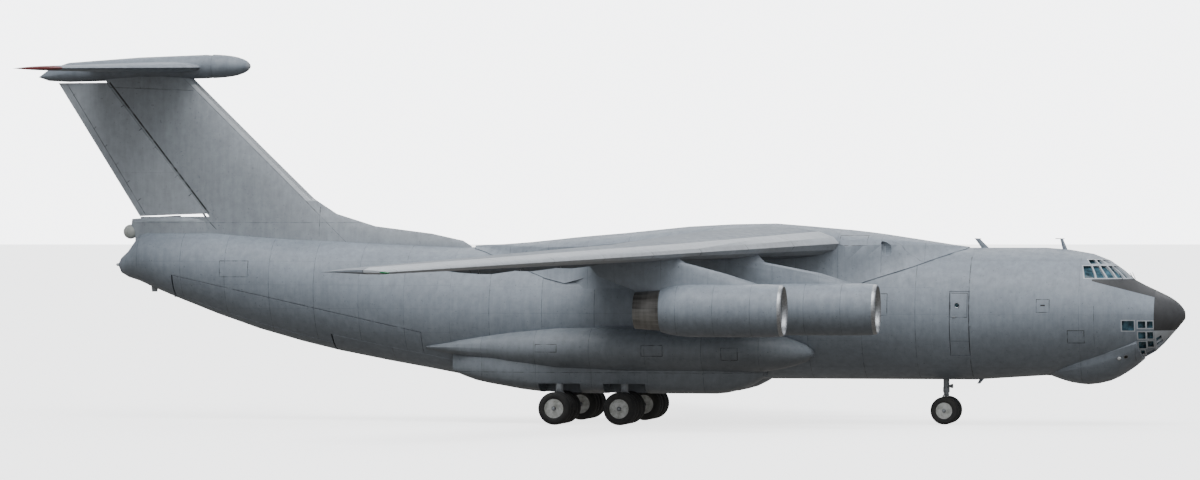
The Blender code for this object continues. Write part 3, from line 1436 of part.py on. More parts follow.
def main_gear(side, label):
    """Legs with their axles, and a wheel pair inboard and outboard of each."""
    reach = MAIN_LEG_RADIUS + WHEEL_SIDE_GAP
    pair_width = 2 * MAIN_TYRE_WIDTH + TYRE_SPACING
    for unit, x in MAIN_UNITS:
        y = side * MAIN_LEG_Y
        foot = MAIN_TYRE_RADIUS
        leg = rod((x, y, foot - 0.06), (x, y, WELL_ROOF - SEAT), MAIN_LEG_RADIUS, 10)
        item = piece("main_leg_%s_%s" % (unit, label), leg, "grey paint")
        half = reach + pair_width + WHEEL_SIDE_GAP
        axle = rod((x, y - half, foot), (x, y + half, foot), AXLE_RADIUS, 8)
        combine(item, guide("main_axle_%s_%s" % (unit, label), axle), "UNION")
        for place, out in (("inboard", -side), ("outboard", side)):
            start = y + out * reach
            shape = wheel_pair(x, start, out, MAIN_TYRE_RADIUS, MAIN_TYRE_WIDTH, TYRE_SPACING)
            name = "main_wheels_%s_%s_%s" % (unit, place, label)
            piece(name, shape, "rubber", (x, start, MAIN_TYRE_RADIUS))


def nose_gear(front_form):
    """Fixed leg, steering strut with its axle, and a wheel pair on each side."""
    x = NOSE_GEAR_X
    leg = rod((x, 0, STEERING_TOP + SEAT), (x, 0, NOSE_LEG_TOP), NOSE_LEG_RADIUS, 12)
    item = piece("nose_leg", leg, "grey paint")
    combine(item, front_form, "DIFFERENCE")
    foot = NOSE_TYRE_RADIUS
    strut = rod((x, 0, foot - 0.05), (x, 0, STEERING_TOP), NOSE_LEG_RADIUS - 0.012, 12)
    item = piece("nose_steering_strut", strut, "steel", (x, 0, STEERING_TOP))
    reach = NOSE_LEG_RADIUS + 0.005
    spacing = TYRE_SPACING / 2
    half = reach + 2 * NOSE_TYRE_WIDTH + spacing + WHEEL_SIDE_GAP
    axle = rod((x, -half, foot), (x, half, foot), AXLE_RADIUS, 8)
    combine(item, guide("nose_axle", axle), "UNION")
    for out, label in ((1, "left"), (-1, "right")):
        shape = wheel_pair(x, out * reach, out, NOSE_TYRE_RADIUS, NOSE_TYRE_WIDTH, spacing)
        piece("nose_wheels_" + label, shape, "rubber", (x, out * reach, foot))


def build():
    """Make the whole aircraft."""
    clear_scene()
    tail_form, front_form = fuselage_blanks()
    nose_section()
    nose_radome()
    chin_radome(front_form)
    nose_glass()
    centre_section()
    cargo_floor()
    tail_section()
    piece("tail_cap", tail_cap_shape(), "grey paint")
    cargo_ramp()
    cargo_centre_door()
    wing_centre_fairing(front_form)
    fin_and_rudder(tail_form, front_form)
    tailplane()
    nose_gear(front_form)
    for side, label in ((1, "left"), (-1, "right")):
        entrance_door(side, "entrance_door_" + label)
        cargo_side_door(side, "cargo_side_door_" + label)
        wing_form = wing_and_surfaces(side, label)
        engines(side, label, wing_form)
        gear_fairing(side, label, front_form, tail_form)
        main_gear(side, label)
    bpy.context.view_layer.update()


build()
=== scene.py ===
"""Looks of the half-size military transport plane: skins, engines, gear, glass and studio.

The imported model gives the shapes. Each painted node is copied, its loose triangles are merged
and it is shaded smooth. Engines, tyres, hubs and legs are modelled afresh on the same axes.
Metres, +Z up, the nose along +X and the left wing along +Y.
"""
import json
import math
from contextlib import contextmanager

import bpy
import numpy as np
from mathutils import Matrix, Vector
from mathutils.bvhtree import BVHTree
from mathutils.kdtree import KDTree


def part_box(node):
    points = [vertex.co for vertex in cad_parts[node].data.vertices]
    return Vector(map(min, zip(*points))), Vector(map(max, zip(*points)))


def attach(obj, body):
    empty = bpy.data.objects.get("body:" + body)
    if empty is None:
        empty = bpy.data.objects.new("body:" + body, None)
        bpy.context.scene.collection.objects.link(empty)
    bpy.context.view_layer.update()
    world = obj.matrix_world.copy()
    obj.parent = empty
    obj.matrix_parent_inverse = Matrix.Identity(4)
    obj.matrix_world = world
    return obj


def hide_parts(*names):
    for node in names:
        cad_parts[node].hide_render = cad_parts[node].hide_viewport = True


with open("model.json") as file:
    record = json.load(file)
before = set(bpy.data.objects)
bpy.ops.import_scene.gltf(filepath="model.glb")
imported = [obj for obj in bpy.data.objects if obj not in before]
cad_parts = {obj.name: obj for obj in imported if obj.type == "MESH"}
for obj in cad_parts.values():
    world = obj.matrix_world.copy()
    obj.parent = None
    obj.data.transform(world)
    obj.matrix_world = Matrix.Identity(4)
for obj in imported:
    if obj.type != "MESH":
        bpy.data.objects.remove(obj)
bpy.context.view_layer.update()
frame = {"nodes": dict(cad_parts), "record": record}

# Which body carries each node
BODY_OF = {node: body for body, nodes in frame["record"]["behaviour"]["bodies"].items() for node in nodes}
SIDES = ((1, "left"), (-1, "right"))
ENGINES = ("inner_left", "inner_right", "outer_left", "outer_right")
FORWARD, BACK, UP, DOWN = (1, 0, 0), (-1, 0, 0), (0, 0, 1), (0, 0, -1)

# Colours as display hex values
GREY = "858E98"
PALE_GREY = "B4BAC0"
DARK_GREY = "3F4042"
LINE = "26282A"
RED = "6A1E20"
BARE_METAL = "C2C5C8"
FLOOR = "DDDEDF"


def linear(code):
    """Turn a display hex colour to linear light, with full alpha."""
    channels = [int(code[k:k + 2], 16) / 255 for k in (0, 2, 4)]
    return [c / 12.92 if c <= 0.04045 else ((c + 0.055) / 1.055) ** 2.4 for c in channels] + [1.0]


def add(tree, kind, *values, output=0, named=None, **settings):
    """Add a shader node, set or link its inputs, and give back one of its outputs."""
    node = tree.nodes.new("ShaderNode" + kind)
    for key, value in settings.items():
        setattr(node, key, value)
    for socket, value in [*enumerate(values), *(named or {}).items()]:
        if isinstance(value, bpy.types.NodeSocket):
            tree.links.new(value, node.inputs[socket])
        elif value is not None:
            node.inputs[socket].default_value = value
    return node.outputs[output]


def blank_material(name, colour, roughness, metallic=0.0):
    """New material with its Principled shader's plain values set; returns material, tree and shader."""
    material = bpy.data.materials.new(name)
    material.use_nodes = True
    tree = material.node_tree
    shader = tree.nodes["Principled BSDF"]
    shader.inputs["Base Color"].default_value = linear(colour)
    shader.inputs["Roughness"].default_value = roughness
    shader.inputs["Metallic"].default_value = metallic
    material.diffuse_color = linear(colour)
    return material, tree, shader


# Real seams are about 2 mm wide at this size; they are drawn wider so that they show at all.
SEAM_WIDTH = 0.011
OUTLINE_WIDTH = 0.014
FLIGHT_DECK_CENTRE_X = 9.55


def paint_axes(tree, place, lean):
    """Object place as x, |y| and z, the leaned line u, and the angle a round the flight deck."""
    split = tree.nodes.new("ShaderNodeSeparateXYZ")
    tree.links.new(place, split.inputs[0])
    x, y, z = split.outputs
    across = add(tree, "Math", y, operation="ABSOLUTE")
    slant = add(tree, "Math", across, lean[0], x, operation="MULTIPLY_ADD")
    slant = add(tree, "Math", z, lean[1], slant, operation="MULTIPLY_ADD")
    ahead = add(tree, "Math", x, FLIGHT_DECK_CENTRE_X, operation="SUBTRACT")
    angle = add(tree, "Math", across, ahead, operation="ARCTAN2")
    return {"x": x, "y": across, "z": z, "u": slant, "a": angle}


def weathering(tree, place, axes, seams, grime_and_shade, stain):
    """Brightness of a painted skin, and the noise of its smudges.

    Sun fades it in broad patches, hands and weather leave smudges and run-off streaks, and each sheet
    differs a little from the next. What faces down is darkened: painted shade, partly oil and dust.
    """
    fading = add(tree, "TexNoise", place, named={"Scale": 0.7, "Detail": 4.0, "Roughness": 0.6})
    smudges = add(tree, "TexNoise", place, named={"Scale": 6.5, "Detail": 7.0, "Roughness": 0.66})
    upright = add(tree, "Mapping", place, named={"Scale": (7.0, 7.0, 0.8)})
    streaks = add(tree, "TexNoise", upright, named={"Scale": 1.7, "Detail": 5.0, "Roughness": 0.6})
    specks = add(tree, "TexNoise", place, named={"Scale": 21.0, "Detail": 4.0, "Roughness": 0.72})
    tone = add(tree, "MapRange", fading, 0.3, 0.7, 0.93, 1.06)
    for noise, low, high, first, last in (
        (smudges, 0.36, 0.66, 1.06, 0.93 - stain * 0.3),
        (streaks, 0.40, 0.72, 1.05, 0.98 - stain),
        (specks, 0.635, 0.68, 1.0, 0.58),
    ):
        share = add(tree, "MapRange", noise, low, high, first, last)
        tone = add(tree, "Math", tone, share, operation="MULTIPLY")
    if len(seams) > 1:
        cells = []
        for axis, start, spacing, _ in seams[:2]:
            shifted = add(tree, "Math", axes[axis], start, operation="SUBTRACT")
            count = add(tree, "Math", shifted, spacing, operation="DIVIDE")
            cells.append(add(tree, "Math", count, operation="FLOOR"))
        sheet = add(tree, "TexWhiteNoise", add(tree, "CombineXYZ", *cells), noise_dimensions="2D")
        share = add(tree, "MapRange", sheet, 0.0, 1.0, 0.955, 1.035)
        tone = add(tree, "Math", tone, share, operation="MULTIPLY")
    # Painted shade: faces that point down are darkened by up to grime_and_shade, partly standing for oil and
    # dust
    facing = add(tree, "SeparateXYZ", add(tree, "TexCoord", output=1), output=2)
    share = add(tree, "MapRange", facing, -0.8, 0.25, 1.0 - grime_and_shade, 1.0, interpolation_type="SMOOTHSTEP")
    return add(tree, "Math", tone, share, operation="MULTIPLY"), smudges


def skin_marks(tree, axes, seams, hatches, lines):
    """Dark marks of a skin: repeating seams, outlines of hatches, and straight lines in the side view."""
    marks = []
    for axis, start, spacing, strength in seams:
        shifted = add(tree, "Math", axes[axis], start, operation="SUBTRACT")
        distance = add(tree, "Math", shifted, spacing / 2, operation="PINGPONG")
        line = add(tree, "Math", distance, SEAM_WIDTH / 2, operation="LESS_THAN")
        marks.append(add(tree, "Math", line, strength, operation="MULTIPLY"))
    for x, z, half_length, half_height in hatches:
        rims = []
        for grow in (OUTLINE_WIDTH / 2, -OUTLINE_WIDTH / 2):
            along = add(tree, "Math", axes["x"], x, half_length + grow, operation="COMPARE")
            up = add(tree, "Math", axes["z"], z, half_height + grow, operation="COMPARE")
            rims.append(add(tree, "Math", along, up, operation="MULTIPLY"))
        marks.append(add(tree, "Math", rims[0], rims[1], operation="SUBTRACT"))
    flat = add(tree, "CombineXYZ", axes["x"], 0.0, axes["z"])
    for start, end, width, strength in lines:
        start, end = (Vector((x, 0.0, z)) for x, z in (start, end))
        along = (end - start).normalized()
        across = Vector((-along.z, 0.0, along.x))
        reach = add(tree, "VectorMath", flat, tuple(along), operation="DOT_PRODUCT", output=1)
        reach = add(tree, "Math", reach, along.dot((start + end) / 2), (end - start).length / 2,
                    operation="COMPARE")
        off = add(tree, "VectorMath", flat, tuple(across), operation="DOT_PRODUCT", output=1)
        off = add(tree, "Math", off, across.dot(start), width / 2, operation="COMPARE")
        line = add(tree, "Math", reach, off, operation="MULTIPLY")
        marks.append(add(tree, "Math", line, strength, operation="MULTIPLY"))
    dark = marks[0]
    for mark in marks[1:]:
        dark = add(tree, "Math", dark, mark, operation="MAXIMUM")
    return dark


def painted(name, colour, seams=(), hatches=(), lines=(), zones=(), lean=(0.0, 0.0), worn=0.0, grime_and_shade=0.32,
            stain=0.07):
    """Weathered polyurethane topcoat over riveted aluminium sheet.

    It gives the eye a soft sheen, broken dark seams, smudges and specks. seams are (axis, start, spacing,
    strength). hatches are (x, z, half length, half height). lines are ((x, z), (x, z), width, strength),
    and a strength of 3 leaves no breaks. zones are (colour, roughness, metallic, ((axis, low, high), ...))
    finished in another way. worn is how far grit has rubbed the paint of forward edges to bare metal.
    """
    material, tree, shader = blank_material(name, colour, 0.5)
    place = add(tree, "TexCoord", output=3)
    axes = paint_axes(tree, place, lean)
    tone, smudges = weathering(tree, place, axes, seams, grime_and_shade, stain)
    colour_now = add(tree, "Mix", named={0: 1.0, 6: linear(colour), 7: tone}, output=2, data_type="RGBA",
                     blend_type="MULTIPLY")
    rough_now = add(tree, "MapRange", smudges, 0.3, 0.7, 0.42, 0.60)
    metal_now = None
    places = [(*zone, None) for zone in zones]
    if worn:
        ahead = add(tree, "SeparateXYZ", add(tree, "TexCoord", output=1))
        edge = add(tree, "MapRange", ahead, 0.55, 0.8, 0.0, worn)
        places.append((BARE_METAL, 0.34, 0.6, (), edge))
    for zone_colour, roughness, metallic, limits, mask in places:
        for axis, low, high in limits:
            side = add(tree, "Math", axes[axis], (low + high) / 2, (high - low) / 2, operation="COMPARE")
            mask = side if mask is None else add(tree, "Math", mask, side, operation="MULTIPLY")
        shade = add(tree, "Mix", named={0: 0.8, 6: linear(zone_colour), 7: tone}, output=2, data_type="RGBA",
                    blend_type="MULTIPLY")
        colour_now = add(tree, "Mix", named={0: mask, 6: colour_now, 7: shade}, output=2, data_type="RGBA")
        rough_now = add(tree, "Mix", named={0: mask, 2: rough_now, 3: roughness})
        if metallic:
            mask = add(tree, "Math", mask, metallic, operation="MULTIPLY")
            metal_now = mask if metal_now is None else add(tree, "Math", metal_now, mask, operation="MAXIMUM")
    height = add(tree, "TexNoise", place, named={"Scale": 3.0, "Detail": 1.0})
    if seams or hatches or lines:
        dark = skin_marks(tree, axes, seams, hatches, lines)
        breaks = add(tree, "TexNoise", place, named={"Scale": 7.0, "Detail": 2.0})
        amount = add(tree, "MapRange", breaks, 0.38, 0.60, 0.22, 0.85)
        amount = add(tree, "Math", dark, amount, operation="MULTIPLY")
        colour_now = add(tree, "Mix", named={0: amount, 6: colour_now, 7: linear(LINE)}, output=2,
                         data_type="RGBA")
        sunk = add(tree, "Math", dark, 1.0, operation="MINIMUM")
        height = add(tree, "Math", sunk, -0.6, height, operation="MULTIPLY_ADD")
    tree.links.new(colour_now, shader.inputs["Base Color"])
    tree.links.new(rough_now, shader.inputs["Roughness"])
    if metal_now is not None:
        tree.links.new(metal_now, shader.inputs["Metallic"])
    bump = add(tree, "Bump", named={"Strength": 0.3, "Distance": 0.006, "Height": height})
    tree.links.new(bump, shader.inputs["Normal"])
    return material


def toned(name, dark, light, scale, low, high, rough, metallic=0.0, grain=None):
    """Material whose colour and gloss drift with one noise; grain is (scale, depth in metres) of its bump."""
    material, tree, shader = blank_material(name, light, rough[0], metallic)
    place = add(tree, "TexCoord", output=3)
    drift = add(tree, "TexNoise", place, named={"Scale": scale, "Detail": 6.0, "Roughness": 0.65})
    share = add(tree, "MapRange", drift, low, high)
    colour = add(tree, "Mix", named={0: share, 6: linear(dark), 7: linear(light)}, output=2, data_type="RGBA")
    tree.links.new(colour, shader.inputs["Base Color"])
    tree.links.new(add(tree, "MapRange", drift, 0.3, 0.7, *rough), shader.inputs["Roughness"])
    if grain:
        grit = add(tree, "TexNoise", place, named={"Scale": grain[0], "Detail": 3.0})
        tree.links.new(add(tree, "Bump", named={"Strength": 0.4, "Distance": grain[1], "Height": grit}),
                       shader.inputs["Normal"])
    return material


def jet_pipe_steel():
    """Stainless jet pipe: dark grey sheet, dulled by heat in rings round it and streaks along it."""
    material, tree, shader = blank_material("heat_dulled_stainless_steel", "5A5855", 0.42, 0.45)
    place = add(tree, "TexCoord", output=3)
    rings = add(tree, "TexNoise", add(tree, "Mapping", place, named={"Scale": (9.0, 0.5, 0.5)}),
                named={"Scale": 1.4, "Detail": 5.0})
    streaks = add(tree, "TexNoise", add(tree, "Mapping", place, named={"Scale": (0.3, 7.0, 7.0)}),
                  named={"Scale": 1.2, "Detail": 4.0, "Roughness": 0.55})
    mixed = add(tree, "Mix", named={0: 0.75, 2: rings, 3: streaks})
    share = add(tree, "MapRange", mixed, 0.34, 0.66)
    colour = add(tree, "Mix", named={0: share, 6: linear("4A4947"), 7: linear("8C8B88")}, output=2,
                 data_type="RGBA")
    tree.links.new(colour, shader.inputs["Base Color"])
    tree.links.new(add(tree, "MapRange", streaks, 0.3, 0.7, 0.34, 0.52), shader.inputs["Roughness"])
    return material


def window_glass():
    """Laminated window glass: dark blue-green and glossy, with pale patches painted into its colour as
    reflections of the sky.
    """
    material, tree, shader = blank_material("laminated_window_glass", "2C4A56", 0.08)
    shader.inputs["IOR"].default_value = 1.45
    shader.inputs["Specular IOR Level"].default_value = 0.35
    place = add(tree, "TexCoord", output=3)
    # Painted reflection: pale patches of sky mixed into the glass's colour
    sky_reflection = add(tree, "TexNoise", place, named={"Scale": 7.0, "Detail": 3.0})
    share = add(tree, "MapRange", sky_reflection, 0.35, 0.72)
    colour = add(tree, "Mix", named={0: share, 6: linear("1C2E36"), 7: linear("4E7484")}, output=2,
                 data_type="RGBA")
    tree.links.new(colour, shader.inputs["Base Color"])
    return material


def lamp_glass(name, colour):
    """Moulded lamp glass with fine ribs, wet-looking and unlit."""
    material, tree, shader = blank_material(name, colour, 0.12)
    shader.inputs["Coat Weight"].default_value = 0.6
    place = add(tree, "TexCoord", output=3)
    ribs = add(tree, "TexWave", place, named={"Scale": 14.0})
    tree.links.new(add(tree, "Bump", named={"Strength": 0.3, "Distance": 0.002, "Height": ribs}),
                   shader.inputs["Normal"])
    return material


# Modelling

def pick(item):
    """Make one object the only selected and active one."""
    bpy.ops.object.select_all(action="DESELECT")
    item.select_set(True)
    bpy.context.view_layer.objects.active = item


@contextmanager
def editing():
    """Edit mode on the active mesh, with all of it selected at the start."""
    bpy.ops.object.mode_set(mode="EDIT")
    bpy.ops.mesh.select_all(action="SELECT")
    yield
    bpy.ops.object.mode_set(mode="OBJECT")


def settle(item, name, material, angle=35.0):
    """Name a finished piece, apply its place, smooth it and give it its only material."""
    pick(item)
    bpy.ops.object.transform_apply()
    bpy.ops.object.shade_smooth_by_angle(angle=math.radians(angle))
    item.name = name
    item.data.name = name
    item.data.materials.clear()
    item.data.materials.append(material)
    return item


# Spots on the skins: spacing, steps of an even spread over a triangle, and the least area that gets one
SPOT_SPACING = 0.06
SPREAD = (0.7548777, 0.5698403)
LEAST_AREA = 1e-9
# Share of a corner's own facet in its shading, so that a corner with no spot near it still has a normal
OWN_SHARE = 0.01


def skin_spots(nodes):
    """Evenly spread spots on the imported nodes, in a tree, with each spot's normal."""
    places, normals = [], []
    for node in nodes:
        mesh = frame["nodes"][node].data
        corners = np.array([[mesh.vertices[k].co for k in face.vertices[:3]] for face in mesh.polygons])
        edges = corners[:, 1] - corners[:, 0], corners[:, 2] - corners[:, 0]
        across = np.cross(*edges)
        areas = np.linalg.norm(across, axis=1) / 2
        for start, one, two, normal, area in zip(corners[:, 0], *edges, across, areas):
            if area < LEAST_AREA:
                continue
            count = max(1, round(area / SPOT_SPACING ** 2))
            steps = np.arange(count)[:, None]
            u, v = (0.5 + steps * SPREAD[0]) % 1, (0.5 + steps * SPREAD[1]) % 1
            outside = u + v > 1
            u, v = np.where(outside, 1 - u, u), np.where(outside, 1 - v, v)
            places.append(start + u * one + v * two)
            normals.append(np.repeat(normal[None] / (2 * area), count, axis=0))
    places, normals = np.concatenate(places), np.concatenate(normals)
    tree = KDTree(len(places))
    for k, place in enumerate(places):
        tree.insert(place, k)
    tree.balance()
    return tree, normals


def even_shading(item, spots, reach, angle):
    """Shade long facets as the curved sheet they stand for: each corner takes the mean normal near it."""
    tree, normals = spots
    mesh = item.data
    limit = math.cos(math.radians(angle))
    near = {}
    shading = [None] * len(mesh.loops)
    for face in mesh.polygons:
        own = np.array(face.normal)
        for k in face.loop_indices:
            vertex = mesh.loops[k].vertex_index
            if vertex not in near:
                found = tree.find_range(mesh.vertices[vertex].co, reach)
                numbers = [number for _, number, _ in found]
                weights = np.array([(1 - (far / reach) ** 2) ** 2 for _, _, far in found])
                near[vertex] = normals[numbers], weights
            around, weights = near[vertex]
            alike = around @ own > limit
            mean = (around[alike] * weights[alike, None]).sum(axis=0) + own * OWN_SHARE
            shading[k] = mean / np.linalg.norm(mean)
    mesh.normals_split_custom_set(shading)


def stand_in(node, *pieces):
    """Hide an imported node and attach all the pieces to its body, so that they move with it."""
    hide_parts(node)
    for piece in pieces:
        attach(piece, BODY_OF[node])


MERGE_DISTANCE = 0.00002


def merged_copy(node):
    """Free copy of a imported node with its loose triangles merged."""
    source = frame["nodes"][node]
    item = source.copy()
    item.data = source.data.copy()
    for key in list(item.keys()):
        del item[key]
    item.parent = None
    bpy.context.scene.collection.objects.link(item)
    pick(item)
    with editing():
        bpy.ops.mesh.remove_doubles(threshold=MERGE_DISTANCE)
    return item


def skin(node, material, spots, angle, reach, cutters):
    """Merged and smoothed copy of a node that is shown in its place, with recesses cut into it."""
    item = merged_copy(node)
    for cutter in cutters:
        pick(item)
        modifier = item.modifiers.new("recess", "BOOLEAN")
        modifier.operation = "DIFFERENCE"
        modifier.object = cutter
        bpy.ops.object.modifier_apply(modifier=modifier.name)
        bpy.data.objects.remove(cutter)
    settle(item, node + "_skin", material, angle)
    even_shading(item, spots, reach, angle)
    stand_in(node, item)


def turned(name, material, profile, centre, axis, sides=48, angle=35.0, closed=False):
    """Body of revolution: a circle is extruded and resized along the profile of (along, radius) points.

    A closed profile goes back to its first point, as a ring or a tube does.
    """
    axis = Vector(axis).normalized()
    if closed:
        profile = [*profile, profile[0]]
    turn = Vector(UP).rotation_difference(axis).to_euler()
    start = Vector(centre) + axis * profile[0][0]
    bpy.ops.object.select_all(action="DESELECT")
    bpy.ops.mesh.primitive_circle_add(vertices=sides, radius=profile[0][1], location=start, rotation=turn)
    item = bpy.context.object
    bpy.ops.object.transform_apply()
    with editing():
        if not closed:
            bpy.ops.mesh.edge_face_add()
        for (along, radius), (next_along, next_radius) in zip(profile, profile[1:]):
            bpy.ops.mesh.extrude_region_move(TRANSFORM_OT_translate={"value": axis * (next_along - along)})
            if next_radius > 0:
                grow = next_radius / radius
                middle = Vector(centre) + axis * next_along
                bpy.ops.transform.resize(value=(grow, grow, grow), center_override=middle)
            else:
                bpy.ops.mesh.merge(type="CENTER")
        bpy.ops.mesh.select_all(action="SELECT")
        bpy.ops.mesh.remove_doubles(threshold=MERGE_DISTANCE)
        bpy.ops.mesh.normals_make_consistent(inside=False)
    return settle(item, name, material, angle)


def bar(name, material, start, end, radius, sides=12):
    """Thin round bar with softened ends."""
    start, end = Vector(start), Vector(end)
    length = (end - start).length
    soft = min(radius * 0.4, length * 0.2)
    return turned(name, material, [(0.0, radius * 0.6), (soft, radius), (length - soft, radius),
                                   (length, radius * 0.6)], start, end - start, sides)


def chamfered(name, material, centre, size, end_scale=(1.0, 1.0), turn=(0.0, 0.0, 0.0)):
    """Bevelled block whose lower end is drawn in by end_scale along its length and width."""
    bpy.ops.object.select_all(action="DESELECT")
    bpy.ops.mesh.primitive_cube_add(size=1.0)
    item = bpy.context.object
    item.scale = size
    bpy.ops.object.transform_apply()
    bpy.ops.object.mode_set(mode="EDIT")
    bpy.ops.mesh.select_mode(type="VERT")
    bpy.ops.mesh.select_all(action="DESELECT")
    bpy.ops.object.mode_set(mode="OBJECT")
    for vert in item.data.vertices:
        vert.select = vert.co.z < 0
    bpy.ops.object.mode_set(mode="EDIT")
    bpy.ops.transform.resize(value=(*end_scale, 1.0), center_override=(0.0, 0.0, -size[2] / 2))
    bpy.ops.object.mode_set(mode="OBJECT")
    modifier = item.modifiers.new("edges", "BEVEL")
    modifier.width = min(size) * 0.12
    modifier.segments = 3
    bpy.ops.object.modifier_apply(modifier=modifier.name)
    item.rotation_euler = turn
    item.location = centre
    return settle(item, name, material, 30)


def joined(items, name):
    """Join several objects into the first."""
    bpy.ops.object.select_all(action="DESELECT")
    for item in items:
        item.select_set(True)
    bpy.context.view_layer.objects.active = items[0]
    bpy.ops.object.join()
    items[0].name = name
    items[0].data.name = name
    return items[0]


def touch(node, start, direction):
    """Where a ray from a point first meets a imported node, and the outward normal there."""
    mesh = frame["nodes"][node].data
    surface = BVHTree.FromPolygons([v.co for v in mesh.vertices], [p.vertices for p in mesh.polygons])
    place, normal, _, _ = surface.ray_cast(Vector(start), Vector(direction).normalized())
    if place is None:
        raise ValueError("no surface of %s on the ray from %s" % (node, tuple(start)))
    return place, normal


# Finishes

SWEEP = math.tan(math.radians(29.5))
FIN_SWEEP = 1.024
STABILISER_SWEEP = 0.4927
WING_EDGE = 4.98 + 1.20 * SWEEP
FIN_EDGE = -5.81 + 4.40 * FIN_SWEEP
FRAME_SPACING = 1.06
STRINGER_SPACING = 0.52
PANE_RIM = 0.018

FUSELAGE_HATCHES = (
    (7.335, 2.36, 0.165, 0.235),
    (8.97, 2.35, 0.125, 0.125),
    (5.86, 2.37, 0.07, 0.21),
    (9.60, 1.75, 0.16, 0.12),
    (3.90, 2.85, 0.12, 0.10),
)
FUSELAGE_LINES = (
    ((7.15, 2.60), (7.15, 1.42), 0.010, 1.0),
    ((7.53, 3.30), (7.53, 0.95), 0.014, 1.0),
    ((7.15, 1.66), (7.53, 1.66), 0.008, 1.0),
    ((9.95, 2.35), (9.95, 1.55), 0.008, 1.0),
)
# Panes as station and height ranges; the flight deck's bands as angle and height ranges
NAVIGATOR_PANES = (
    (10.48, 10.71, 1.87, 2.06), (10.78, 10.92, 1.92, 2.05), (10.95, 11.06, 1.92, 2.05),
    (10.78, 10.92, 1.71, 1.84), (10.95, 11.06, 1.71, 1.84), (10.78, 10.92, 1.52, 1.65),
    (10.95, 11.06, 1.55, 1.66), (10.81, 10.885, 1.40, 1.48),
)
DECK_BANDS = ((79.5, 2.876, 3.139), (67.5, 3.152, 3.259))


# The navigator's front panes are framed as one field: station and height range
FRONT_PANES = (11.085, 11.60, 1.30, 1.868)
FRAME_FINISH = (PALE_GREY, 0.45, 0.0)


def frames_of_windows():
    """Zones of thin pale frames round the navigator's panes and along the flight deck's bands."""
    zones = []
    for start, end, low, high in NAVIGATOR_PANES:
        limits = (("x", start - PANE_RIM, end + PANE_RIM), ("z", low - PANE_RIM, high + PANE_RIM))
        zones.append((*FRAME_FINISH, limits))
    for angle, low, high in DECK_BANDS:
        zones.append((*FRAME_FINISH, (("a", 0.0, math.radians(angle)), ("z", low, high))))
    start, end, low, high = FRONT_PANES
    zones.append((*FRAME_FINISH, (("x", start, end), ("z", low, high))))
    return zones


# Ends of the gap between fin and rudder, as station and height, and the gap's painted width
HINGE_FOOT = (-8.02, 4.17)
HINGE_HEAD = (-10.11, 6.83)
HINGE_WIDTH = 0.034

# The rudder's hinge line, the fin's foot joint, its head joint and the lines of the dorsal fillet
FIN_LINES = (
    (HINGE_FOOT, HINGE_HEAD, HINGE_WIDTH, 3.0),
    ((-8.15, 4.14), (-7.86, 3.84), 0.016, 1.0),
    ((-10.24, 6.74), (-8.36, 6.66), 0.012, 1.0),
    ((-6.02, 4.42), (-5.72, 4.12), 0.014, 1.0),
    ((-5.72, 4.30), (-5.72, 3.70), 0.014, 1.0),
)


def rudder_ticks():
    """Dark gap along the rudder's nose, hinge marks square to it, and the tab line with its marks."""
    foot, head = Vector(HINGE_FOOT), Vector(HINGE_HEAD)
    along = (head - foot).normalized()
    square = Vector((-along.y, along.x))
    marks = [((-9.37, 4.12), (-11.05, 6.83), 0.012, 1.5), (HINGE_FOOT, HINGE_HEAD, HINGE_WIDTH, 3.0)]
    for share in (0.16, 0.30, 0.52, 0.66, 0.84):
        start = foot.lerp(head, share)
        end = start + square * 0.12
        marks.append((tuple(start), tuple(end), 0.014, 2.0))
    for share in (0.10, 0.24, 0.38, 0.52, 0.66, 0.80, 0.92):
        start = Vector((-9.37, 4.17)).lerp(Vector((-11.05, 6.78)), share)
        marks.append((tuple(start), tuple(start - square * 0.07), 0.012, 2.0))
    return marks


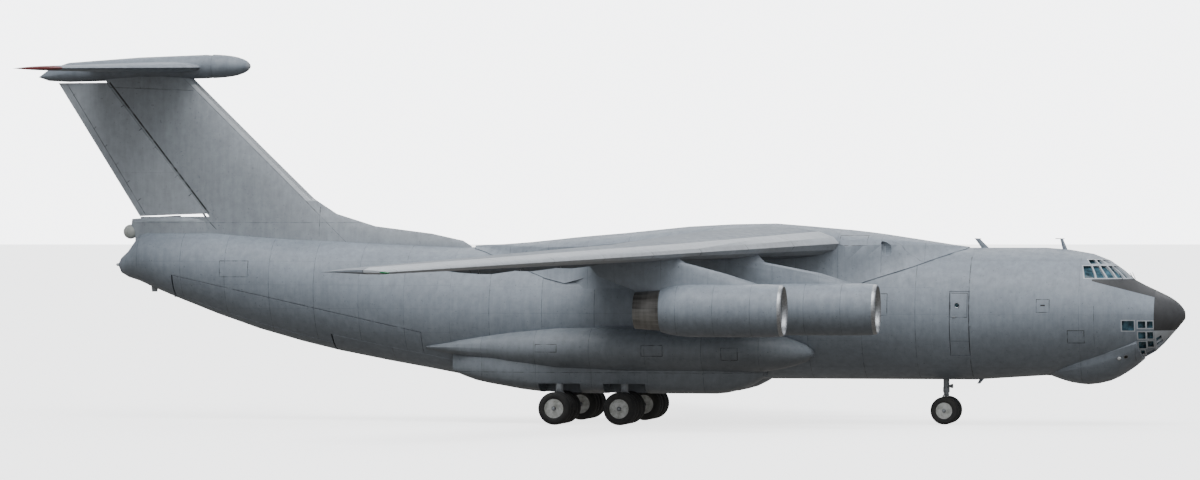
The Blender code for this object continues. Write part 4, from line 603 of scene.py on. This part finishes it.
finish = {
    "fuselage": painted("weathered_grey_topcoat", GREY, hatches=FUSELAGE_HATCHES, lines=FUSELAGE_LINES,
                        seams=(("x", 7.54, FRAME_SPACING, 0.8), ("z", 2.18, STRINGER_SPACING, 0.22))),
    "nose": painted("weathered_grey_topcoat_nose", GREY, hatches=FUSELAGE_HATCHES, lines=FUSELAGE_LINES,
                    seams=(("x", 7.54, FRAME_SPACING * 2, 0.3), ("z", 2.18, STRINGER_SPACING * 2, 0.15)),
                    lean=(0.0, 3.745),
                    zones=(
                        (DARK_GREY, 0.62, 0.0, (("x", 9.90, 11.10), ("z", 2.50, 2.868), ("u", 20.50, 24.0))),
                        *frames_of_windows(),
                        # Painted shade: the handle's recess in the small hatch, drawn as a dark slot
                        (LINE, 0.6, 0.0, (("x", 8.925, 9.015), ("z", 2.345, 2.375))),
                    )),
    "tail": painted("weathered_grey_topcoat_tail", GREY, hatches=((-7.35, 3.05, 0.30, 0.16),),
                    seams=(("x", -2.80, 0.95, 0.7), ("z", 3.20, 0.47, 0.2))),
    "doors": painted("weathered_grey_topcoat_doors", GREY, seams=(("x", -2.80, 1.27, 0.6),)),
    "wing": painted("weathered_grey_topcoat_wing", "777F88", lean=(SWEEP, 0.0), worn=0.75,
                    seams=(("y", 1.20, 1.24, 0.9), ("u", WING_EDGE - 0.42, 1.35, 0.9)), grime_and_shade=0.42,
                    zones=(("A9AFB5", 0.42, 0.0, (("u", WING_EDGE - 0.41, WING_EDGE + 1.0),)),)),
    "crown": painted("weathered_grey_topcoat_crown", GREY, hatches=((5.25, 3.62, 0.26, 0.10),),
                     seams=(("x", 5.78, 0.83, 0.5), ("y", 0.0, 0.82, 0.4))),
    # Fin and rudder are painted lighter than the body's grey: painted light that makes up for the tailplane's
    # shadow on them
    "fin": painted("weathered_grey_topcoat_fin", "91989F", lean=(0.0, FIN_SWEEP), lines=FIN_LINES,
                   seams=(("u", FIN_EDGE - 0.19, 20.0, 1.0), ("z", 3.98, 20.0, 0.6)),
                   zones=(("A9AEB2", 0.40, 0.35,
                           (("u", FIN_EDGE - 0.17, FIN_EDGE + 1.0), ("z", 4.42, 6.78))),)),
    "rudder": painted("weathered_grey_topcoat_rudder", "A0A7AE", seams=(("z", 5.0, 20.0, 0.2),),
                      lines=rudder_ticks()),
    "tailplane": painted("weathered_grey_topcoat_tailplane", GREY, lean=(STABILISER_SWEEP, 0.0), worn=0.8,
                         seams=(("x", -7.96, 20.0, 0.9), ("y", 0.42, 0.88, 0.5)), grime_and_shade=0.42,
                         zones=((RED, 0.5, 0.0, (("y", 3.89, 5.0),)),)),
    # The line at height 1.02 is the joint where the upper fairing steps over the lower one, drawn dark:
    # partly painted shadow under the step
    "gear": painted("weathered_grey_topcoat_gear_fairing", "777E85", grime_and_shade=0.30,
                    seams=(("x", 0.10, 1.12, 0.6), ("z", 1.02, 20.0, 0.9)),
                    hatches=((-0.77, 1.50, 0.22, 0.075), (1.37, 1.46, 0.21, 0.105), (2.9, 1.40, 0.16, 0.12))),
    "cowl": painted("weathered_grey_topcoat_cowl", GREY, seams=(("x", 0.36, 0.71, 0.6),), stain=0.10,
                    grime_and_shade=0.42),
    "pylon": painted("weathered_grey_topcoat_pylon", GREY, seams=(("x", 0.36, 0.90, 0.4),), worn=0.6,
                     grime_and_shade=0.42),
    # Grey-black paint on glass fibre, smooth and dull
    "radome": painted("glass_fibre_radome", DARK_GREY, grime_and_shade=0.3, stain=0.04),
    # Polished lips and edges: bright metal, dulled by grit
    "aluminium": toned("bare_polished_aluminium", "8C8F92", "B6B9BC", 30.0, 0.35, 0.7, (0.30, 0.48), 0.9),
    "jet_pipe": jet_pipe_steel(),
    # Fan blades: forged, machined fine and slightly darkened
    "titanium": toned("forged_titanium", "5F6267", "8A8D92", 60.0, 0.3, 0.7, (0.28, 0.45), 0.9),
    # Tyres: black rubber greyed by dust, with a fine grain
    "rubber": toned("carbon_black_tyre_rubber", "1B1C1D", "3A3936", 6.0, 0.4, 0.85, (0.72, 0.88),
                    grain=(180.0, 0.002)),
    "glass": window_glass(),
    # Hard-chromed piston rods, wiped by their seals
    "chrome": toned("hard_chrome", "B9BCBE", "DADCDD", 25.0, 0.3, 0.7, (0.08, 0.2), 1.0),
    # Stoved enamel on forgings, castings and wheel hubs, with grime in its hollows
    "leg": toned("stoved_grey_enamel", "565A5E", "8C9195", 9.0, 0.3, 0.6, (0.35, 0.5)),
    "hub": toned("stoved_pale_enamel", "74776F", "B4B6B4", 9.0, 0.3, 0.6, (0.35, 0.5)),
    "lining": toned("dusty_grey_duct_paint", "6A6E72", "8E9296", 4.0, 0.3, 0.7, (0.45, 0.6)),
    # Matt black: real black on the wipers and one chin lamp, and painted shade on the discs deep in the
    # engines
    "black": toned("matt_black_lining", "050506", "0E0E0F", 9.0, 0.3, 0.7, (0.7, 0.8)),
    # Ribbed aluminium floor, scuffed by loads
    "floor": painted("anodised_aluminium_floor", "6C6F70", grime_and_shade=0.1,
                     seams=(("x", 0.0, 0.61, 0.7), ("y", 0.0, 0.40, 0.7))),
    "red_lamp": lamp_glass("red_lamp_glass", "8E1418"),
    "green_lamp": lamp_glass("green_lamp_glass", "0F6B3E"),
    "clear_lamp": lamp_glass("clear_lamp_glass", "C9CED2"),
    # Glass-fibre blister on the tail, sun-bleached to a pale grey-green
    "blister": toned("bleached_glass_fibre", "969B98", "B9BDB8", 5.0, 0.3, 0.7, (0.45, 0.6)),
}


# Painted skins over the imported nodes

# Submerged air inlets beside the crown's top: station and height of the mouth's middle, half sizes, turn
INLET = (5.88, 3.47)
INLET_SIZE = (0.22, 0.075, 0.15)
INLET_TURN = math.radians(24)


def inlet_cutters():
    """Two slanted egg shapes that cut a smooth trough with a round aft lip."""
    cutters = []
    for side, label in SIDES:
        place = touch("wing_centre_fairing", (INLET[0], side * 3.0, INLET[1]), (0.0, -side, 0.0))[0]
        bpy.ops.object.select_all(action="DESELECT")
        bpy.ops.mesh.primitive_uv_sphere_add(segments=24, ring_count=12, radius=1.0, location=place,
                                             rotation=(0.0, 0.0, side * INLET_TURN))
        item = bpy.context.object
        item.scale = INLET_SIZE
        bpy.ops.object.transform_apply()
        item.name = "inlet_" + label
        cutters.append(item)
    return cutters


# Thin pieces, whose two sides lie close together, are shaded from spots that lie nearer
THIN_PIECES = ("wing_left", "wing_right", "fin", "rudder", "tailplane", "elevator", "aileron", "flap",
               "pylon")
THIN_REACH = 0.10
BODY_REACH = 0.17


def painted_skins():
    """Show each painted node through a merged copy, with its own paint and smoothing angle."""
    plain = {
        "nose_section": ("nose", 24), "centre_section": ("fuselage", 30), "tail_section": ("tail", 30),
        "tail_cap": ("tail", 40), "cargo_ramp": ("doors", 30), "cargo_centre_door": ("doors", 30),
        "cargo_floor": ("floor", 30), "fin": ("fin", 32), "rudder": ("rudder", 32),
        "tailplane": ("tailplane", 32), "chin_radome": ("fuselage", 40), "nose_radome": ("radome", 40),
        "flight_deck_glass": ("glass", 30), "navigator_glass": ("glass", 30),
        "wing_centre_fairing": ("crown", 35),
    }
    for _, label in SIDES:
        plain["wing_" + label] = ("wing", 30)
        plain["gear_fairing_" + label] = ("gear", 38)
        plain["entrance_door_" + label] = ("nose", 30)
        plain["cargo_side_door_" + label] = ("tail", 30)
        plain["elevator_" + label] = ("tailplane", 32)
        plain["aileron_" + label] = ("wing", 30)
        for place in ("inner", "outer"):
            plain["flap_%s_%s" % (place, label)] = ("wing", 30)
            plain["pylon_%s_%s" % (place, label)] = ("pylon", 35)
    spots = skin_spots(plain)
    for node, (paint, angle) in plain.items():
        reach = THIN_REACH if node.startswith(THIN_PIECES) else BODY_REACH
        cutters = inlet_cutters() if node == "wing_centre_fairing" else ()
        skin(node, finish[paint], spots, angle, reach, cutters)


# Engines: turned pieces as name, finish, sides, whether the section closes on itself as a ring does, and the
# section's points as distance behind the lip and radius
ENGINE_PIECES = (
    ("cowl", "cowl", 64, True, (
        (0.075, 0.4840), (0.20, 0.4935), (0.32, 0.498), (0.46, 0.4995), (1.70, 0.4995), (1.86, 0.495),
        (2.02, 0.478), (2.18, 0.450), (2.34, 0.408), (2.34, 0.388), (1.80, 0.44), (0.30, 0.46))),
    ("lip", "aluminium", 64, True, (
        (0.075, 0.4840), (0.05, 0.481), (0.018, 0.472), (0.003, 0.462), (0.0, 0.456), (0.004, 0.449),
        (0.02, 0.439), (0.05, 0.4285), (0.10, 0.4185), (0.10, 0.44))),
    ("duct", "lining", 64, True, (
        (0.10, 0.4185), (0.16, 0.406), (0.24, 0.392), (0.32, 0.388), (0.56, 0.386), (0.56, 0.40),
        (0.10, 0.43))),
    # The core and the jet pipe's well are matt black discs: painted shade standing for the dark depths of the
    # engine behind them
    ("core", "black", 32, False, ((0.545, 0.386), (0.57, 0.386), (0.57, 0.0))),
    ("jet_pipe", "jet_pipe", 64, True, (
        (2.30, 0.386), (2.345, 0.386), (2.355, 0.3815), (2.60, 0.3645), (2.83, 0.348), (2.84, 0.344),
        (2.838, 0.336), (2.60, 0.343), (2.43, 0.352), (2.30, 0.36))),
    ("jet_pipe_well", "black", 48, False, ((2.41, 0.358), (2.38, 0.358), (2.38, 0.0))),
    ("exhaust_plug", "jet_pipe", 32, False, (
        (2.41, 0.17), (2.50, 0.155), (2.60, 0.127), (2.70, 0.082), (2.76, 0.035), (2.78, 0.0))),
)
FAN_BLADES = 26


def nacelle(node):
    """Round cowl with a bare lip, a lined intake and a heated jet pipe; gives back the lip's centre."""
    low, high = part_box(node)
    centre = Vector((high.x, (low.y + high.y) / 2, (low.z + high.z) / 2))
    stand_in(node, *[
        turned(node.replace("nacelle", label), finish[paint], section, centre, BACK, sides, closed=closed)
        for label, paint, sides, closed, section in ENGINE_PIECES
    ])
    return centre


SPINNER = ((0.0, 0.118), (0.10, 0.115), (0.14, 0.106), (0.19, 0.082), (0.235, 0.048), (0.262, 0.018),
           (0.268, 0.0))
BLADE_HALF_CHORD = 0.043
BLADE_THICKNESS = 0.005
BLADE_CAMBER = 0.010
BLADE_ROOT = 0.10
# Turn of the chord at the root and how much of it is gone at the tip, in degrees
BLADE_TURN = 60
BLADE_TWIST = 32


def fan_blade(root, tip):
    """One thin cambered blade, standing along Z, its chord turning towards the fan's plane at the tip."""
    bpy.ops.object.select_all(action="DESELECT")
    bpy.ops.mesh.primitive_cube_add(size=1.0)
    blade = bpy.context.object
    blade.scale = (BLADE_THICKNESS, 2 * BLADE_HALF_CHORD, tip - root)
    blade.location = (0.0, 0.0, (tip + root) / 2)
    bpy.ops.object.transform_apply()
    with editing():
        bpy.ops.mesh.subdivide(number_cuts=3)
    for vert in blade.data.vertices:
        share = (vert.co.z - root) / (tip - root)
        turn = math.radians(BLADE_TURN - BLADE_TWIST * share)
        along = vert.co.x + BLADE_CAMBER * (1 - (vert.co.y / BLADE_HALF_CHORD) ** 2)
        across = vert.co.y * (0.80 + 0.35 * share)
        vert.co.x = along * math.cos(turn) - across * math.sin(turn)
        vert.co.y = along * math.sin(turn) + across * math.cos(turn)
    return blade


def fan(node, centre):
    """Spinner and a ring of twisted blades about the node's own axis."""
    low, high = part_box(node)
    name = node.replace("fan_", "")
    tip = min(high.z - low.z, high.y - low.y) / 2
    spinner = turned("spinner_" + name, finish["leg"], SPINNER, (low.x, centre.y, centre.z), FORWARD, 32)
    pattern = fan_blade(BLADE_ROOT, tip)
    blades = []
    for k in range(FAN_BLADES):
        blade = pattern.copy()
        blade.data = pattern.data.copy()
        bpy.context.scene.collection.objects.link(blade)
        blade.data.transform(Matrix.Rotation(2 * math.pi * k / FAN_BLADES, 4, "X"))
        blade.data.transform(Matrix.Translation((low.x + 0.06, centre.y, centre.z)))
        blades.append(blade)
    bpy.data.objects.remove(pattern)
    blades = joined(blades, "blades_" + name)
    with editing():
        bpy.ops.mesh.normals_make_consistent(inside=False)
    settle(blades, "blades_" + name, finish["titanium"], 40)
    stand_in(node, blades, spinner)


# Landing gear

# Tyre sections as shares of the tyre's width and radius: the grooved tread, one side wall and the hub's face
TREAD = ((0.30, 0.993), (0.345, 0.996), (0.35, 0.98), (0.385, 0.98), (0.39, 0.999), (0.485, 1.0),
         (0.49, 0.98), (0.51, 0.98), (0.515, 1.0), (0.61, 0.999), (0.615, 0.98), (0.65, 0.98),
         (0.655, 0.996), (0.70, 0.993))
SIDE_WALL = ((0.10, 0.56), (0.05, 0.60), (0.02, 0.70), (0.02, 0.78), (0.05, 0.86), (0.11, 0.925),
             (0.19, 0.968))
HUB_FACE = ((0.09, 0.60), (0.07, 0.59), (0.07, 0.55), (0.16, 0.53), (0.22, 0.45), (0.20, 0.30), (0.13, 0.26),
            (0.07, 0.22), (0.07, 0.14))
MAIN_TYRE_WIDTH = 0.24
NOSE_TYRE_WIDTH = 0.165
# A tyre's round is drawn a little inside the solid that carries the weight
TYRE_FIT = 0.9985
# Bolts in each hub: their circle as a share of the tyre's radius, and their ends as shares of its width
HUB_BOLTS = 8
BOLT_CIRCLE = 0.49
BOLT_RADIUS = 0.009
BOLT_ENDS = (0.165, 0.115)


def wheel_pair(node):
    """Two treaded tyres on dished hubs, joined by their sleeve."""
    low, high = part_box(node)
    centre = (low + high) / 2
    radius = (high.z - low.z) / 2
    span = high.y - low.y
    width = MAIN_TYRE_WIDTH if node.startswith("main") else NOSE_TYRE_WIDTH
    tyre = [*SIDE_WALL, *TREAD, *((1 - a, r) for a, r in reversed(SIDE_WALL))]
    pieces = []
    for k, start in enumerate((low.y, high.y - width)):
        points = [(a * width, r * radius * TYRE_FIT) for a, r in tyre]
        pieces.append(turned("tyre_%d_%s" % (k, node), finish["rubber"], points,
                             (centre.x, start, centre.z), (0, 1, 0), 56, 40, closed=True))
        for face, along in ((1, start), (-1, start + width)):
            points = [(a * width, r * radius) for a, r in HUB_FACE]
            pieces.append(turned("hub_%d_%d_%s" % (k, face, node), finish["hub"], points,
                                 (centre.x, along, centre.z), (0, face, 0), 40, 30, closed=True))
            bolts = []
            for n in range(HUB_BOLTS):
                turn = 2 * math.pi / HUB_BOLTS * n
                x = centre.x + BOLT_CIRCLE * radius * math.cos(turn)
                z = centre.z + BOLT_CIRCLE * radius * math.sin(turn)
                inner, outer = ((x, along + face * depth * width, z) for depth in BOLT_ENDS)
                bolts.append(bar("bolt", finish["leg"], inner, outer, BOLT_RADIUS, 6))
            pieces.append(joined(bolts, "hub_bolts_%d_%d_%s" % (k, face, node)))
    sleeve = [(-0.02, 0.30 * radius), (span - 2 * width + 0.02, 0.30 * radius)]
    pieces.append(turned("sleeve_" + node, finish["leg"], sleeve, (centre.x, low.y + width, centre.z),
                         (0, 1, 0), 24))
    stand_in(node, *pieces)


def torque_link(name, x, y, heights, reach, body):
    """Scissor of two tapered arms and its pin, on the front or rear of a strut."""
    low, high = heights
    middle = (low + high) / 2
    lean = math.atan2(abs(reach), (high - low) / 2)
    length = math.hypot(reach, (high - low) / 2)
    way = math.copysign(1.0, reach)
    pieces = []
    for k, (height, turn) in enumerate((((high + middle) / 2, -lean), ((low + middle) / 2, lean))):
        arm = chamfered("arm", finish["leg"], (x + reach / 2, y, height), (0.022, 0.075, length),
                        (1.0, 0.55) if k == 0 else (1.0, 1.6), (0.0, way * turn, 0.0))
        pieces.append(arm)
    pieces.append(bar("pin", finish["chrome"], (x + reach, y - 0.04, middle), (x + reach, y + 0.04, middle),
                      0.012))
    link = joined(pieces, name)
    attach(link, body)


# Legs: turned sections as distance along and radius, then the radii and the sides of the round bars
MAIN_STRUT = ((0.0, 0.074), (0.20, 0.074), (0.215, 0.068), (0.25, 0.068))
MAIN_FOOT = ((0.0, 0.060), (0.02, 0.072), (0.14, 0.072), (0.16, 0.058))
NOSE_STRUT = ((0.0, 0.060), (0.02, 0.068), (0.10, 0.068), (0.11, 0.062))
NOSE_COLLAR = ((0.0, 0.054), (0.05, 0.056), (0.06, 0.050))
NOSE_FOOT = ((0.0, 0.046), (0.015, 0.055), (0.10, 0.055), (0.11, 0.045))
TAXI_LAMP_CASE = ((0.0, 0.018), (0.02, 0.035), (0.06, 0.044), (0.07, 0.044))
TAXI_LAMP_GLASS = ((0.0, 0.040), (0.006, 0.034), (0.010, 0.0))
MAIN_PISTON = 0.052
NOSE_PISTON = 0.042
AXLE = 0.034
LEG_SIDES = 28
AXLE_SIDES = 20


def main_leg(node):
    """Shock strut with its chromed piston, axle and torque link."""
    low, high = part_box(node)
    x, y = (low.x + high.x) / 2, (low.y + high.y) / 2
    name = node.replace("main_leg_", "")
    strut = turned("strut_" + name, finish["leg"], MAIN_STRUT, (x, y, high.z), DOWN, LEG_SIDES)
    piston = bar("piston_" + name, finish["chrome"], (x, y, high.z - 0.24), (x, y, low.z + 0.10),
                 MAIN_PISTON, LEG_SIDES)
    foot = turned("foot_" + name, finish["leg"], MAIN_FOOT, (x, y, low.z + 0.155), DOWN, LEG_SIDES)
    axle = bar("axle_" + name, finish["leg"], (x, low.y, low.z + 0.06), (x, high.y, low.z + 0.06), AXLE,
               AXLE_SIDES)
    stand_in(node, strut, piston, foot, axle)
    torque_link("torque_link_" + name, x + 0.06, y, (low.z + 0.14, high.z - 0.16), 0.11, BODY_OF[node])


def nose_gear():
    """Fixed nose leg with its lamp, and the steered piston, axle and torque link."""
    low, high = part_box("nose_leg")
    x = (low.x + high.x) / 2
    section = [*NOSE_STRUT, (high.z - low.z, NOSE_STRUT[-1][1])]
    leg = turned("nose_strut", finish["leg"], section, (x, 0.0, low.z), UP, LEG_SIDES)
    lamp_back = turned("taxi_lamp_case", finish["leg"], TAXI_LAMP_CASE, (x + 0.06, 0.0, low.z + 0.13),
                       FORWARD, 24)
    lamp = turned("taxi_lamp_glass", finish["clear_lamp"], TAXI_LAMP_GLASS, (x + 0.13, 0.0, low.z + 0.13),
                  FORWARD, 24)
    stand_in("nose_leg", leg, lamp_back, lamp)
    low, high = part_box("nose_steering_strut")
    axle_height = low.z + 0.05
    collar = turned("steering_collar", finish["leg"], NOSE_COLLAR, (x, 0.0, high.z), DOWN, LEG_SIDES)
    piston = bar("nose_piston", finish["chrome"], (x, 0.0, high.z - 0.05), (x, 0.0, axle_height),
                 NOSE_PISTON, LEG_SIDES)
    foot = turned("nose_foot", finish["leg"], NOSE_FOOT, (x, 0.0, axle_height + 0.055), DOWN, LEG_SIDES)
    axle = bar("nose_axle", finish["leg"], (x, low.y, axle_height), (x, high.y, axle_height), AXLE,
               AXLE_SIDES)
    stand_in("nose_steering_strut", collar, piston, foot, axle)
    torque_link("nose_torque_link", x - 0.045, 0.0, (axle_height + 0.05, high.z - 0.04), -0.075,
                BODY_OF["nose_steering_strut"])


# Small fittings

# Half sections of the round fairings as (along, radius)
BULLET_NOSE = ((0.0, 0.012), (0.012, 0.042), (0.04, 0.077), (0.08, 0.110), (0.15, 0.146), (0.25, 0.180),
               (0.36, 0.205), (0.52, 0.226), (0.70, 0.239), (0.77, 0.2415))
BULLET_HEIGHT = 7.149
TAIL_BLISTER = ((-0.148, 0.02), (-0.140, 0.058), (-0.11, 0.104), (-0.06, 0.138), (-0.008, 0.149),
                (-0.004, 0.145), (0.004, 0.145), (0.008, 0.149), (0.06, 0.138), (0.11, 0.104), (0.140, 0.058),
                (0.150, 0.0))
# Wire aerials on the spine: station and height of the mast's head, and the tip's length
AERIALS = ((7.61, 3.655, 0.10), (9.25, 3.655, 0.15))
# Lamps in the chin radome's sides: station, height and glass
CHIN_LAMPS = ((10.41, 1.33, "clear_lamp"), (10.54, 1.36, "black"))
# Wipers under the windscreen: distance of the foot from the middle and the wiper's length
WIPERS = ((0.20, 0.17), (0.62, 0.15))
# Entrance doors: the porthole's middle on the left side; the handle's two stations, distance out and height
PORTHOLE = (7.30, 1.272, 2.36)
DOOR_HANDLE = (7.215, 7.275, 1.303, 2.13)
# The rudder's foot droops towards the tail, and the fillet under it leans the same way
FOOT_DROOP = 0.05


def tail_fittings():
    """Bullet's round nose, blister, aerial and lamp of the tail, and the fillet under the rudder's foot."""
    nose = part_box("tailplane")[1]
    return [
        turned("bullet_nose", finish["tailplane"], BULLET_NOSE, (nose.x, 0.0, BULLET_HEIGHT), BACK, 56),
        turned("tail_blister", finish["blister"], TAIL_BLISTER, (-9.70, 0.0, 3.80), BACK, 40),
        chamfered("tail_box_aerial", finish["leg"], (-9.20, 0.0, 2.68), (0.14, 0.09, 0.20), (0.75, 0.8)),
        chamfered("rudder_foot_fillet", finish["fin"], (-9.01, 0.0, 4.082), (0.72, 0.02, 0.06),
                  turn=(0.0, -math.atan(FOOT_DROOP), 0.0)),
        turned("tail_lamp", finish["clear_lamp"], [(0.0, 0.032), (0.03, 0.030), (0.05, 0.018), (0.058, 0.0)],
               (-9.955, 0.0, 3.13), BACK, 20),
    ]


def side_fittings(side, label):
    """Chin lamps, wing tip lamp and wipers of one side."""
    pieces = []
    for k, (x, z, lamp) in enumerate(CHIN_LAMPS):
        place, normal = touch("chin_radome", (x, side * 2.0, z), (0.0, -side, 0.0))
        pieces.append(turned("chin_lamp_%d_%s" % (k, label), finish[lamp],
                             [(-0.01, 0.036), (0.006, 0.036), (0.018, 0.027), (0.024, 0.0)], place, normal,
                             20))
        pieces.append(turned("chin_lamp_rim_%d_%s" % (k, label), finish["aluminium"],
                             [(-0.01, 0.037), (0.008, 0.037), (0.008, 0.044), (-0.01, 0.046)], place, normal,
                             24, closed=True))
    tip = touch("wing_" + label, (-1.50, side * 14.0, 3.055), (0.0, -side, 0.0))[0]
    pieces.append(turned("wing_tip_lamp_" + label, finish["red_lamp" if side > 0 else "green_lamp"],
                         [(-0.10, 0.004), (-0.06, 0.018), (0.0, 0.026), (0.06, 0.018), (0.10, 0.0)],
                         tip + Vector((0.0, side * 0.004, 0.0)), (1, 0, -0.05), 16))
    for y, reach in WIPERS:
        foot, normal = touch("nose_section", (13.0, side * y, 2.862), (-1.0, 0.0, 0.0))
        foot += normal * 0.008
        end = foot + Vector((-0.40 * reach, side * 0.75 * reach, 0.72 * reach))
        pieces.append(bar("wiper_%d_%s" % (y * 100, label), finish["black"], foot, end, 0.006, 8))
    return pieces


def door_fittings(side, label):
    """Porthole with its rim and the handle of an entrance door, which move with the door."""
    x, y, z = PORTHOLE
    glass = turned("porthole_glass_" + label, finish["glass"], [(0.0, 0.042), (0.006, 0.040), (0.010, 0.0)],
                   (x, side * y, z), (0, side, 0), 28)
    rim = turned("porthole_rim_" + label, finish["aluminium"],
                 [(-0.01, 0.040), (0.018, 0.040), (0.022, 0.047), (0.010, 0.052)], (x, side * y, z),
                 (0, side, 0), 28, closed=True)
    start, end, y, z = DOOR_HANDLE
    handle = bar("door_handle_" + label, finish["leg"], (start, side * y, z), (end, side * y, z), 0.010, 10)
    for piece in (glass, rim, handle):
        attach(piece, BODY_OF["entrance_door_" + label])


def fittings():
    """Lamps, aerials, wipers, portholes and the blisters of the tail."""
    pieces = tail_fittings()
    for x, z, length in AERIALS:
        pieces.append(bar("aerial_tip_%d" % (x * 100), finish["blister"], (x + 0.03, 0.0, z),
                          (x - length, 0.0, z + 0.004), 0.008, 8))
    for side, label in SIDES:
        pieces += side_fittings(side, label)
    for piece in pieces:
        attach(piece, "airframe")
    for side, label in SIDES:
        door_fittings(side, label)


# Studio

CAMERA_AZIMUTH = math.radians(10.5)
CAMERA_DISTANCE = 100.0
CAMERA_HEIGHT = 3.63
FOCAL_PIXELS = 5005.0
IMAGE_WIDTH = 1200
SENSOR = 36.0
FLOOR_RADIUS = 4000.0
FLOOR_GLOW = 2.3
BACKDROP_GLOW = 6.0
# Name, height and azimuth in degrees of where the light comes from, its width in degrees and its strength.
# Azimuth 0 is the camera's side and 90 the nose's side.
SOFT_LIGHTS = (
    ("overhead_light", 64.0, 12.0, 50.0, 2.9),
    ("side_light", 22.0, 5.0, 40.0, 0.42),
    ("back_light", 46.0, 190.0, 50.0, 1.1),
)


def studio_floor():
    """Wide pale disc. It gives back no light, so undersides stay as dark as in the air."""
    bpy.ops.object.select_all(action="DESELECT")
    bpy.ops.mesh.primitive_circle_add(vertices=96, radius=FLOOR_RADIUS, fill_type="NGON")
    floor = bpy.context.object
    with editing():
        bpy.ops.mesh.inset(thickness=FLOOR_RADIUS * 0.9)
    material, _, shader = blank_material("matt_studio_floor", FLOOR, 0.9)
    shader.inputs["Emission Color"].default_value = linear("FFFFFF")
    shader.inputs["Emission Strength"].default_value = FLOOR_GLOW
    settle(floor, "studio_floor", material, 60)
    floor.visible_diffuse = False
    floor.visible_glossy = False


def studio_world():
    """Near-white all round for the eye; as light, a cool soft sky that is warmer and darker below."""
    world = bpy.data.worlds.new("studio")
    bpy.context.scene.world = world
    world.use_nodes = True
    tree = world.node_tree
    height = add(tree, "SeparateXYZ", add(tree, "TexCoord"), output=2)
    glow = add(tree, "MapRange", height, -0.8, 0.35, 0.25, 0.48)
    cool = add(tree, "MapRange", height, -0.6, 0.3, 0.0, 1.0)
    colour = add(tree, "Mix", named={0: cool, 6: linear("F6F0E8"), 7: linear("F1F5FC")}, output=2,
                 data_type="RGBA")
    seen = add(tree, "LightPath")
    strength = add(tree, "Mix", named={0: seen, 2: glow, 3: BACKDROP_GLOW})
    background = tree.nodes["Background"]
    tree.links.new(colour, background.inputs["Color"])
    tree.links.new(strength, background.inputs["Strength"])


def studio():
    """Floor, world, three soft lights and the photograph's camera."""
    studio_floor()
    studio_world()
    for name, height, azimuth, width, strength in SOFT_LIGHTS:
        light = bpy.data.lights.new(name, "SUN")
        light.angle = math.radians(width)
        light.energy = strength
        lamp = bpy.data.objects.new(name, light)
        level = math.cos(math.radians(height))
        turn = math.radians(azimuth)
        source = Vector((level * math.sin(turn), -level * math.cos(turn), math.sin(math.radians(height))))
        lamp.rotation_euler = (-source).to_track_quat("-Z", "Y").to_euler()
        bpy.context.scene.collection.objects.link(lamp)

    lens = bpy.data.cameras.new("camera")
    lens.sensor_width = SENSOR
    lens.lens = SENSOR * FOCAL_PIXELS / IMAGE_WIDTH
    lens.clip_end = 3 * FLOOR_RADIUS
    camera = bpy.data.objects.new("camera", lens)
    camera.location = (CAMERA_DISTANCE * math.sin(CAMERA_AZIMUTH),
                       -CAMERA_DISTANCE * math.cos(CAMERA_AZIMUTH), CAMERA_HEIGHT)
    camera.rotation_euler = (math.radians(90), 0.0, CAMERA_AZIMUTH)
    bpy.context.scene.collection.objects.link(camera)
    bpy.context.scene.camera = camera


painted_skins()
for engine in ENGINES:
    fan("fan_" + engine, nacelle("nacelle_" + engine))
for node in sorted(frame["nodes"]):
    if "_wheels_" in node:
        wheel_pair(node)
    if node.startswith("main_leg"):
        main_leg(node)
nose_gear()
fittings()
studio()
